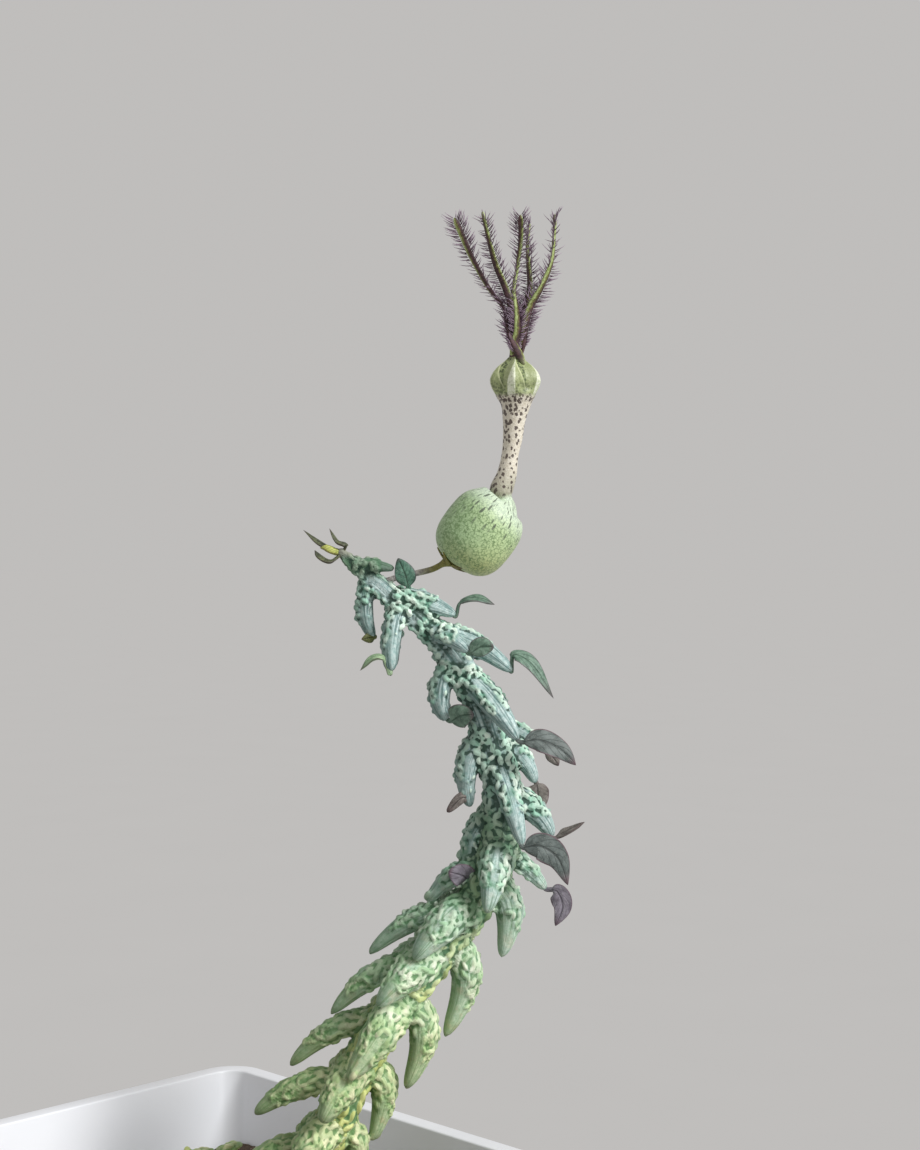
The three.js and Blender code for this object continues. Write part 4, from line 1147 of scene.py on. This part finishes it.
def leaf_form(course, start, width, stalk, fullness, cup, half_thickness, waves):
    """The place function of a leaf: a lens-shaped blade on a round stalk, with a sunk midrib. Up to
    the start the course still runs inside the tubercle."""
    def place(way, turn):
        middle, _, across, out = course.frame(way)
        way = np.clip((way - start) / (1 - start), 1e-6, 1)
        blade = np.clip((way - stalk) / (1 - stalk), 0, 1)
        outline = 0.5 * width * np.sin(math.pi * blade ** LEAF_WIDEST) ** fullness
        half = np.maximum(outline, STALK_HALF_WIDTH * (1 - smoothstep(way, *STALK_FADES)))
        half = half * (way < 1 - 1e-6)
        thickness = half_thickness * np.minimum(1, half / THIN_UNDER)
        side, up = np.cos(turn), np.sin(turn)
        flatness = LEAF_EDGE + (1 - LEAF_EDGE) * np.abs(up)
        open_part = smoothstep(way, stalk, stalk + BLADE_OPENS_OVER)
        rise_up = up * flatness * thickness
        rise_up += open_part * half * cup * side ** 2
        rise_up += open_part * MARGIN_WAVE * half * np.sin(waves + MARGIN_WAVES * way) * side ** 3
        rib = np.exp(-((side / RIB_WIDTH) ** 2)) * (up > 0) * (half > THIN_UNDER)
        rise_up -= open_part * RIB_SINK * rib
        return middle + across * (side * half)[:, None] + out * rise_up[:, None]
    return place


def paint_leaf(name, dark, light, vein_tone, margin_tone):
    """A thin waxy leaf skin: clouded blade, midrib and arched side veins, tinged margin and tip."""
    leaf = Finish(name)
    way, side, up = leaf.attributes("way", "side", "up")
    off_rib = leaf.maths("ABSOLUTE", side)
    clouds = leaf.noise(0.9, 4, 0.65)
    specks = leaf.ease(leaf.cells(3.4), 0.3, 0.14)
    wave = leaf.maths("SINE", (way * 15 - off_rib * 4 + clouds * 0.8) * 3.1)
    veins = leaf.ease(wave, 0.86, 1) * leaf.ease(up, -0.2, 0.3)
    rib = leaf.ease(off_rib, 0.12, 0.03)
    rim = leaf.maths("MAXIMUM", leaf.ease(off_rib, 0.84, 0.99), leaf.ease(way, 0.86, 1))
    blade = leaf.layers(
        leaf.tones(clouds, dark, light),
        (specks * 0.22, "B9BDB2"),
        (veins * 0.2, vein_tone),
        (rib * 0.75, vein_tone),
        (rim * (0.3 + clouds), margin_tone),
    )
    relief = clouds * 0.5 - veins * 0.5 - rib * 0.6 + specks * 0.3
    leaf.cover(blade, 0.42 + clouds * 0.25, relief, 0.09)
    return leaf


leaf_finishes = {name: paint_leaf(name, *tones) for name, tones in LEAF_TONES.items()}
for number, (midrib, width, face, finish, stalk, fullness, cup) in enumerate(LEAVES, 1):
    points = at_depth(midrib, PLANT_DEPTH)
    bearer = min(tubercles, key=lambda bump: np.linalg.norm(bump.course.end - points[0]))
    borne = np.linalg.norm(bearer.course.end - points[0]) < NEAR_TIP
    start = 0
    if borne and finish not in ("young_leaf", "tip_bud"):
        points.insert(0, bearer.course.at(np.array([LEAF_ROOT]))[0])
        start = 1 / (len(points) - 1)
    leaf_course = Course(points, unit(np.array(face, float)))
    half_thickness = BUD_HALF_THICKNESS if finish == "tip_bud" else LEAF_HALF_THICKNESS
    leaf = sweep("leaf_{}".format(number), *LEAF_GRID, leaf_form(
        leaf_course, start, width, stalk, fullness, cup, half_thickness, WAVE_STEP * number
    ))
    put(leaf, leaf_finishes[finish], "stem_skin", "stem")


# The flower's stalk: thin and bent, it widens into the calyx with five narrow pointed sepals that
# lie along the barrel. All of it has grown as one, grey and speckled at first, then olive brown.
FLOWER_DEPTH = PLANT_DEPTH + 1.5
STALK_LINE = (
    (26.2, 0.3, 159.9), (28.4, 1.1, 160.6), (30.8, 1.4, 161.1), (33.1, 1.5, 161.7),
    (34.6, 1.5, 162.5), (36.3, 1.5, 163.4),
)
STALK_RADIUS = 0.42
STALK_STEPS = 300
STALK_GRID = (40, 90)
CALYX_LENGTH = 2.6
CALYX_RADIUS = 1.35
CALYX_RIBS = 0.06
SEPAL_COUNT = 5
SEPAL_CENTRE = (35.8, 162.7)
SEPAL_COURSE = ((-0.5, 0.6), (-0.3, 1.9), (0.3, 3.1))
SEPAL_TURN = 0.3
SEPAL_HALF_WIDTH = 0.5
SEPAL_TAPER = 1.6
SEPAL_TIP = 0.03
SEPAL_HALF_THICKNESS = 0.22
SEPAL_THINNING = 0.6
SEPAL_GRID = (20, 30)
BARREL_BASE = (36, 162.2)
BARREL_TOP = (42.9, 171.3)


def barrel_point(share):
    """A point of the barrel's middle line."""
    x, z = (low + (high - low) * share for low, high in zip(BARREL_BASE, BARREL_TOP))
    return np.array((x, FLOWER_DEPTH, z))


flower_along = unit(barrel_point(1) - barrel_point(0))
flower_across = np.cross(IN_DEPTH, flower_along)
stalk_course = Course(at_depth(STALK_LINE, PLANT_DEPTH))
stalk_ways = np.linspace(0, 1, STALK_STEPS)
stalk_steps = np.linalg.norm(np.diff(stalk_course.at(stalk_ways), axis=0), axis=1)
stalk_reach = np.concatenate([[0], np.cumsum(stalk_steps)])


def stalk_radius(way, turn):
    """The stalk's half thickness: even at first, then swelling into the calyx."""
    left = stalk_reach[-1] - np.interp(way, stalk_ways, stalk_reach)
    swell = smoothstep(CALYX_LENGTH - left, 0, CALYX_LENGTH)
    ribs = CALYX_RIBS * swell * np.cos(SEPAL_COUNT * turn)
    return STALK_RADIUS + (CALYX_RADIUS - STALK_RADIUS) * swell + ribs


stalk_place = swept(stalk_course, stalk_radius, stalk_radius)
stalk_parts = [sweep("stalk_and_calyx", *STALK_GRID, stalk_place)]
sepal_centre = np.array((SEPAL_CENTRE[0], FLOWER_DEPTH, SEPAL_CENTRE[1]))
for sepal in range(SEPAL_COUNT):
    angle = 2 * math.pi * sepal / SEPAL_COUNT + SEPAL_TURN
    sepal_out = flower_across * math.cos(angle) + IN_DEPTH * math.sin(angle)
    sepal_points = [
        sepal_centre + flower_along * forward + sepal_out * aside for forward, aside in SEPAL_COURSE
    ]
    stalk_parts.append(sweep("sepal", *SEPAL_GRID, swept(
        Bend(*sepal_points, flower_along),
        lambda way, turn: SEPAL_HALF_WIDTH * (1 - way ** SEPAL_TAPER) + SEPAL_TIP,
        lambda way, turn: SEPAL_HALF_THICKNESS * (1 - SEPAL_THINNING * way),
    )))
flower_stalk = join(stalk_parts, "stalk_and_calyx")


def plant_x(finish):
    """How far right a point lies in the plant's own directions, in millimetres."""
    settings = {"operation": "DOT_PRODUCT"}
    return finish.node("ShaderNodeVectorMath", settings, {0: finish.place(), 1: RIGHTWARDS}, "Value")


def paint_stalk():
    """Matt skin, grey-purple and speckled along the stalk, olive to dark brown on the calyx."""
    skin = Finish("stalk_skin")
    right = plant_x(skin)
    grain = skin.noise(2.6, 4, 0.7)
    grey = skin.tones(grain, "756F6E", "B3AFA8", 0.35, 0.65)
    olive = skin.tones(grain, "5E5A26", "938E4C")
    specks = skin.ease(skin.cells(3.2), 0.25, 0.1)
    body = skin.layers(
        grey,
        (skin.ease(right + (grain - 0.5) * 2, 30.6, 33.6), olive),
        (skin.ease(right + skin.height() * 0.6, 132.6, 134.4) * 0.75, "4A3420"),
        (specks * 0.6, "4F464C"),
    )
    skin.cover(body, 0.5 + grain * 0.3, grain + specks * 0.4, 0.06)
    return skin


put(flower_stalk, paint_stalk(), "stalk_skin", "flower_stalk")


# The corolla: five petals grown into one tube, with a swollen barrel, a narrow throat and a closed
# cage whose five lobes are folded outwards along pale keels.
BARREL_RADIUS = 5.35
BARREL_STEPS = 9
BARREL_END = 0.4
BARREL_SQUARENESS = 3
BARREL_ROUNDNESS = 0.4
TUBE_LINE = (
    (42.5, 172.4, 1.6), (43.3, 174.8, 1.38), (43.7, 177.3, 1.17), (44.1, 179.8, 1.35),
    (44.3, 182.4, 1.6),
)
CAGE_AXIS = 44.5
CAGE_PROFILE = (
    (184.3, 2.05), (185.4, 2.6), (186.6, 3.4), (187.6, 3.7), (188.6, 3.4), (189.6, 2.6), (190.4, 1.6),
    (191.1, 0.85),
)
KEEL_COUNT = 5
KEEL_DEPTH = 0.28
KEEL_FLATNESS = 0.6
KEELS_FROM = 185.4
KEELS_FULL = 186.8
KEEL_TURN = 0.09
BEND_REACH = 0.03
COROLLA_GRID = (150, 190)

stations = []
for step in range(BARREL_STEPS + 1):
    round_way = math.pi * (step + BARREL_END) / (BARREL_STEPS + 2 * BARREL_END)
    share = 0.5 - 0.5 * math.cos(round_way)
    bulge = (1 - abs(2 * share - 1) ** BARREL_SQUARENESS) ** BARREL_ROUNDNESS
    x, _, z = barrel_point(share)
    stations.append((x, BARREL_RADIUS * bulge, z))
stations += [(x, radius, z) for x, z, radius in TUBE_LINE]
stations += [(CAGE_AXIS, radius, z) for z, radius in CAGE_PROFILE]
corolla_profile = Course(stations)


def corolla_place(way, turn):
    """The corolla's wall: a round section with five folds in the cage."""
    x, radius, z = corolla_profile.at(way).T
    ahead = corolla_profile.at(np.minimum(way + BEND_REACH, 1))
    behind = corolla_profile.at(np.maximum(way - BEND_REACH, 0))
    along = (ahead - behind) * (1, 0, 1)
    across = np.cross(IN_DEPTH, unit(along))
    around = turn + math.pi / 2 + KEEL_TURN
    fold = (0.5 - 0.5 * np.cos(KEEL_COUNT * around)) ** KEEL_FLATNESS
    radius = radius * (1 - KEEL_DEPTH * fold * smoothstep(z, KEELS_FROM, KEELS_FULL))
    radius = radius * off_poles(way)
    middle = np.stack([x, np.full_like(x, FLOWER_DEPTH), z], axis=-1)
    turn_across = np.sin(turn + math.pi / 2) * radius
    turn_out = -np.cos(turn + math.pi / 2) * radius
    return middle + across * turn_across[:, None] + IN_DEPTH * turn_out[:, None]


corolla = sweep("lantern_corolla", *COROLLA_GRID, corolla_place)


def paint_corolla():
    """Satin petal skin: the barrel in pale green with a fine dark net, painted paler on its lit right
    side and with a painted highlight in its bloom, the throat cream with dark blotches and painted
    shade on its left, the cage's panels olive green between pale keels, with painted shade along one
    side of each."""
    petal = Finish("petal_skin", coat_weight=0.2, coat_roughness=0.3)
    way, side, up = petal.attributes("way", "side", "up")
    height = petal.height()
    right = plant_x(petal)
    cloud = petal.noise(0.35, 3)
    fine = petal.noise(2.4, 4, 0.7)

    # Painted light and shade: the barrel is paler on the right, the lamp's side, and darker on the
    # left; its specks thin out on the right.
    painted_lit_side = petal.ease(right + (cloud - 0.5) * 4, 36, 43.5)
    bottom = petal.ease(height + (cloud - 0.5) * 4, 166.5, 161)
    net = petal.ease(petal.cells(2.5, None, "DISTANCE_TO_EDGE"), 0.17, 0.04)
    net = net * petal.ease(fine, 0.38, 0.55)
    specks = petal.ease(fine + (0.5 - painted_lit_side) * 0.05, 0.52, 0.62)
    round_place = petal.node("ShaderNodeCombineXYZ", {}, {0: side * 5.3, 1: up * 5.3, 2: way * 11})
    dashes = petal.ease(petal.cells(1.8, round_place) + (fine - 0.5) * 0.3, 0.36, 0.24)
    dashes = dashes * petal.ease(way + (cloud - 0.5) * 0.3, 0.16, 0.3)
    # Whitish patch at the barrel's upper right: partly real bloom, partly a painted highlight.
    bloom = petal.ease(right * 0.68 + height * 0.74 + fine * 1.4, 152.6, 156.2)
    barrel = petal.layers(
        petal.mix(painted_lit_side, "9FBB8C", "C5DDA6"),
        (bottom * 0.75, "BFC582"),
        (net * 0.7, "5F7F4E"),
        (specks * 0.6, "66834F"),
        (bloom * 0.5, "E3EFE6"),
        (dashes * 0.85, "4B5547"),
    )

    # Painted shade on the tube's left side, away from the lamp; the dark blotches are also set closer
    # there.
    painted_shade_left = petal.ease(side, 0.7, -0.5)
    frayed = petal.noise(3.2, 3, 0.6, petal.place((1, 1, 0.7)))
    spots = petal.cells(1.6, petal.place((1, 1, 0.9))) - (frayed - 0.5) * 0.9 - painted_shade_left * 0.07
    spots = spots - petal.ease(height, 178, 184) * 0.05
    blotches = petal.ease(spots, 0.39, 0.29)
    collar = petal.ease(height, 184.6, 185.1) * petal.ease(height, 185.9, 185.4)
    collar = collar * petal.ease(petal.cells(2.4) - (frayed - 0.5) * 0.5, 0.5, 0.36)
    throat = petal.layers(
        petal.tones(fine, "D6CDB9", "EFE9DA"),
        (petal.ease(height, 176.5, 172.5) * 0.65, "94957F"),
        (painted_shade_left * 0.3, "9A9284"),
        (blotches * 0.92, "45352F"),
    )

    around = petal.maths("ARCTAN2", side, up * -1) + KEEL_TURN
    sector = petal.maths("FRACT", around * (KEEL_COUNT / 2 / math.pi) + 0.5) - 0.5
    margin = (height - 189.3) * -0.12 + 0.16
    past_margin = petal.ease(sector - margin, -0.02, 0.02)
    pepper = petal.ease(petal.cells(2.4) + (fine - 0.5) * 0.4, 0.54, 0.38)
    pepper = pepper * petal.maths("MAXIMUM", past_margin, petal.ease(height, 188.6, 186.4) * 0.7)
    off_margin = petal.maths("ABSOLUTE", sector - margin)
    flank_width = petal.maths("MINIMUM", (height - 190.3) * -0.088 + 0.02, 0.29)
    flank_width = flank_width * (1 - petal.ease(side, 0.45, 0.85) * 0.5)
    flank = petal.ease(sector + flank_width, -0.015, 0.025) * petal.ease(sector, 0.05, 0.02)
    shaded = petal.ease(sector, 0.2, 0.48) * petal.ease(height, 190, 188)
    cage = petal.layers(
        petal.tones(fine, "8A9660", "AAB385"),
        (past_margin * 0.35, "74874C"),
        (pepper * 0.85, "3A4427"),
        (petal.ease(off_margin, 0.045, 0.015) * 0.75, "D8DDAE"),
        (flank, petal.tones(fine, "E6EAD2", "B4BF97", 0.44, 0.68)),
        (shaded * 0.45, "4E5E33"),
    )

    body = petal.layers(
        barrel,
        (petal.ease(way + (fine - 0.5) * 0.03, 0.405, 0.445), throat),
        (petal.ease(height + (fine - 0.5) * 0.7, 185.2, 186), cage),
        (collar * 0.9, "45352F"),
    )
    petal.cover(body, 0.4 + fine * 0.25, fine * 0.6 + net * 0.25 + cloud * 0.5, 0.07)
    return petal


put(corolla, paint_corolla(), "corolla_skin", "corolla")


# The antennae: the long tips of the five petals, each a thin twisted ribbon, green along one margin
# and dark maroon along the other. They leave a short neck over the cage, where they grew together.
ANTENNAE = (
    ((45.7, -1.3, 189.8), (44.9, -1.3, 191.4), (44.1, -0.9, 193), (43.3, -0.6, 195.2),
     (42.9, -0.8, 197.4), (40.6, -1.4, 200.6), (38.3, -2, 204.7), (37.1, -2.2, 207.4),
     (36, -2.2, 209.9)),
    ((44.4, 0.3, 190.4), (44, 0.4, 192.2), (43.5, 0.5, 195.2), (43.8, 0.6, 198.1), (43.2, 1.1, 200.4),
     (41.7, 1.8, 204.2), (40.6, 2.2, 208.5), (39.9, 2.4, 211.6)),
    ((44.4, -0.4, 190.4), (44.2, -0.6, 192), (44.7, -0.9, 194.7), (44.6, -1.2, 197.2), (44.2, -2, 200),
     (44.7, -2.9, 203.4), (45.1, -3.6, 207.1), (45, -4, 210)),
    ((44.6, 0.4, 190.4), (44.9, 0.6, 192.2), (45, 0.9, 194.7), (45.4, 1.3, 197.2), (46.5, 2.5, 200.6),
     (46.4, 3.9, 204.4), (46.3, 5.1, 207.4), (46.6, 5.7, 210.6)),
    ((44.7, 0, 190.4), (45.3, 0, 192.2), (45.7, 0, 194.7), (46.4, 0, 197.6), (48, -0.2, 200.6),
     (49.4, -0.3, 204), (49.8, -0.4, 207.8), (49.9, -0.4, 210.7)),
)
RIBBON_HALF_WIDTH = (0.56, 0.4)
RIBBON_HALF_THICKNESS = (0.3, 0.24)
RIBBON_THIN_UNDER = 0.3
RIBBON_TIP_PART = 0.04
RIBBON_GRID = (20, 110)
NECK_GRID = (24, 12)
RIBBON_START = (-0.2, 1.6, 2.6, 0.9, 2.1)
RIBBON_TWIST = (3.4, -3.1, 3.3, -2.7, 3.0)
NECK_RADIUS = ((190.7, 0.95), (192, 0.75), (194, 0.5))


class Ribbon:
    """One antenna's ribbon, with the way its broad side points at each way along it."""

    def __init__(self, order, points):
        self.course = Course(at_depth(points, FLOWER_DEPTH))
        self.start = RIBBON_START[order]
        self.twist = RIBBON_TWIST[order]

    def frame(self, way):
        """The middle, the direction, the broad side and the flat side."""
        middle, along, across, out = self.course.frame(way)
        angle = (self.start + self.twist * way)[:, None]
        broad = across * np.cos(angle) + out * np.sin(angle)
        return middle, along, broad, np.cross(along, broad)

    def half_width(self, way, turn=0):
        wide, narrow = RIBBON_HALF_WIDTH
        tip = np.clip((1 - way) / RIBBON_TIP_PART, 0, 1)
        return (wide + (narrow - wide) * way) * np.sqrt(tip * np.clip(0.06 + way / 0.1, 0, 1))

    def half_thickness(self, way, turn=0):
        thick, thin = RIBBON_HALF_THICKNESS
        narrowed = np.minimum(1, self.half_width(way) / RIBBON_THIN_UNDER)
        return (thick + (thin - thick) * way) * narrowed


def neck_place(way, turn):
    """The neck that the five ribbons leave."""
    foot, top = NECK_RADIUS[0][0], NECK_RADIUS[-1][0]
    z = foot + (top - foot) * way
    radius = girth_at(z, NECK_RADIUS) * off_poles(way)
    depth = FLOWER_DEPTH + radius * np.sin(turn)
    return np.stack([CAGE_AXIS + radius * np.cos(turn), depth, z], axis=-1)


ribbons = [Ribbon(order, points) for order, points in enumerate(ANTENNAE)]
antenna_parts = [sweep("antennae", *NECK_GRID, neck_place)]
for ribbon in ribbons:
    ribbon_place = swept(ribbon, ribbon.half_width, ribbon.half_thickness)
    antenna_parts.append(sweep("antennae", *RIBBON_GRID, ribbon_place))
antennae = join(antenna_parts, "twisted_antennae")


def paint_antennae():
    """Ribbon skin: olive green along one margin, dark maroon along the other, flecked between."""
    skin = Finish("ribbon_skin")
    way, side, up = skin.attributes("way", "side", "up")
    grain = skin.noise(2.2, 4, 0.7)
    stripes = skin.noise(1.6, 3, 0.7)
    green = skin.tones(grain, "87984F", "B9C78A")
    olive = skin.tones(grain, "4A4422", "7A7A3E")
    maroon = skin.tones(grain, "2A191A", "5A3C3F")
    turned = side * 0.9 + up * 0.3 + (stripes - 0.5) * 1.1
    body = skin.layers(
        olive,
        (skin.ease(turned, 0.3, -0.05), maroon),
        (skin.ease(turned, 0.5, 0.72), green),
        (skin.ease(way, 0.1, 0.01) * 0.4, "C4CFA0"),
        (skin.ease(skin.cells(2.6), 0.24, 0.12) * 0.5, "3A2226"),
    )
    skin.cover(body, 0.5 + grain * 0.25, grain, 0.06)
    return skin


put(antennae, paint_antennae(), "antenna_skin", "antennae")


# The hairs on the antennae: soft purple hairs about 1.5 mm long that stand off both margins of each
# ribbon like the teeth of a comb, a little bent towards its tip.
HAIRS_PER_RIBBON = 230
HAIRS_FROM = 0.16
HAIRS_TO = 0.995
HAIR_JITTER = 0.0015
HAIR_LENGTH = (1.25, 1.85)
HAIR_SHORTEST = 0.35
HAIR_RADIUS = 0.088
HAIR_TAPER = 0.4
HAIR_ROOT = 0.8
HAIR_BEND = 0.32
HAIR_TILT = 0.42
HAIR_LEAN = 0.25
HAIR_TIP_LEAN = 0.5
HAIR_LEAN_SPREAD = 0.1
HAIR_BEND_SPREAD = 0.5
HAIR_SEED = 31
BOX_ROOM = 0.15 * MM

hair_model, hair_way, hair_turn = ball_of("hair", 3, 5)
apply_modifier(hair_model, "TRIANGULATE")
hair_girth = HAIR_RADIUS * (1 - hair_way) ** HAIR_TAPER * (hair_way > 1e-6)
hair_side = hair_girth * np.cos(hair_turn)
hair_up = hair_girth * np.sin(hair_turn)
hair_shape = np.stack([hair_side, hair_up, hair_way, hair_way ** 2], axis=-1)


def comb(ribbon, random):
    """The roots of one ribbon's hairs, and for each its cross directions, reach and bend."""
    count = HAIRS_PER_RIBBON
    way = np.linspace(HAIRS_FROM, HAIRS_TO, count) + random.normal(0, HAIR_JITTER, count)
    margin = np.where(np.arange(count) % 2, 1.0, -1.0)
    middle, along, broad, flat = ribbon.frame(way)
    tilt = random.normal(0, HAIR_TILT, count)
    lean = HAIR_LEAN + HAIR_TIP_LEAN * smoothstep(way, 0.85, 1)
    lean = lean + random.normal(0, HAIR_LEAN_SPREAD, count)
    reach = broad * (margin * np.cos(tilt))[:, None] + flat * np.sin(tilt)[:, None]
    reach = unit(reach + along * lean[:, None])
    grown = HAIR_SHORTEST + (1 - HAIR_SHORTEST) * smoothstep(way, 0.14, 0.4)
    length = random.uniform(*HAIR_LENGTH, count) * grown
    root = middle + broad * (margin * HAIR_ROOT * ribbon.half_width(way))[:, None]
    first = unit(np.cross(reach, flat))
    second = np.cross(reach, first)
    bend = unit(along + flat * random.normal(0, HAIR_BEND_SPREAD, count)[:, None])
    axes = [first, second, reach * length[:, None], bend * (HAIR_BEND * length)[:, None]]
    return root, np.stack(axes, axis=1)


hair_random = np.random.default_rng(HAIR_SEED)
combs = [comb(ribbon, hair_random) for ribbon in ribbons]
hair_roots = stand(np.concatenate([root for root, _ in combs]))
hair_axes = stand(np.concatenate([axes for _, axes in combs]))
hair_tips = hair_roots + hair_axes[:, 2] + hair_axes[:, 3]
inside = (hair_tips > np.array(cad_low) + BOX_ROOM) & (hair_tips < np.array(cad_high) - BOX_ROOM)
kept = inside.all(axis=1)
hairs = strew("purple_hairs", hair_model, hair_roots[kept], hair_axes[kept], hair_shape)
store(hairs, "way", np.tile(hair_way, kept.sum()))
hairs.data.shade_smooth()


def paint_hairs():
    """Soft hairs, dark purple at the root and lighter mauve towards the tip."""
    hair = Finish("purple_hair")
    (way,) = hair.attributes("way")
    grain = hair.noise(1.2, 3)
    root = hair.tones(grain, "573F4E", "7A6072", 0.35, 0.65)
    tip = hair.tones(grain, "8B7688", "B1A0B0", 0.35, 0.65)
    hair.cover(hair.tones(way, root, tip, 0.15, 0.8), 0.55 + grain * 0.2)
    return hair


put(hairs, paint_hairs(), "antenna_skin")


# The stage: a plain pale floor under a soft, even light from all sides, with one broad lamp high to
# the right, a little before the plant.
FLOOR_RADIUS = 12
add_circle = bpy.ops.mesh.primitive_circle_add
floor = new_piece("floor", add_circle, vertices=96, radius=FLOOR_RADIUS, fill_type="NGON")
matt = Finish("pale_floor")
matt.shader.inputs["Specular IOR Level"].default_value = 0
matt.cover(matt.mix(matt.noise(0.02, 3), "BBBAB9", "BDBCBB"), 1)
matt.wear(floor)
floor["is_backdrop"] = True

AWAY = Vector((-math.sin(PLANT_TURN), math.cos(PLANT_TURN), 0))
RIGHT = Vector(RIGHTWARDS)
KEY_STRENGTH = 2.9
KEY_SPREAD = math.radians(22)
SKY_TONE = "D6D4D2"
SKY_STRENGTH = 0.78


def look(obj, direction):
    """Turns a lamp or a camera so that it looks this way."""
    obj.rotation_mode = "QUATERNION"
    obj.rotation_quaternion = direction.to_track_quat("-Z", "Y")


key_data = bpy.data.lights.new("key", "SUN")
key_data.energy = KEY_STRENGTH
key_data.angle = KEY_SPREAD
key_side = RIGHT * 0.68 - AWAY * 0.48 + Vector((0, 0, 0.57))
look(add_object("key", key_data), -key_side)
world = bpy.data.worlds.new("studio")
world.use_nodes = True
backdrop = world.node_tree.nodes["Background"]
backdrop.inputs["Color"].default_value = colour(SKY_TONE)
backdrop.inputs["Strength"].default_value = SKY_STRENGTH
bpy.context.scene.world = world
bpy.context.scene.view_settings.view_transform = "Standard"

# The camera: level with the flower's calyx, to the right of the stem, looking a little down along
# the pot's diagonal.
CAMERA_ASIDE = 36.8 * MM
CAMERA_DISTANCE = 248 * MM
CAMERA_HEIGHT = 165 * MM
CAMERA_PITCH = math.atan(30 / 1900)
CAMERA_LENS = 59.5
camera_data = bpy.data.cameras.new("camera")
camera_data.lens = CAMERA_LENS
camera_data.sensor_width = 36
camera_data.clip_start = 0.005
camera = add_object("camera", camera_data)
camera.location = RIGHT * CAMERA_ASIDE - AWAY * CAMERA_DISTANCE + Vector((0, 0, CAMERA_HEIGHT))
look(camera, AWAY * math.cos(CAMERA_PITCH) - Vector((0, 0, math.sin(CAMERA_PITCH))))
bpy.context.scene.camera = camera

low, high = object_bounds()
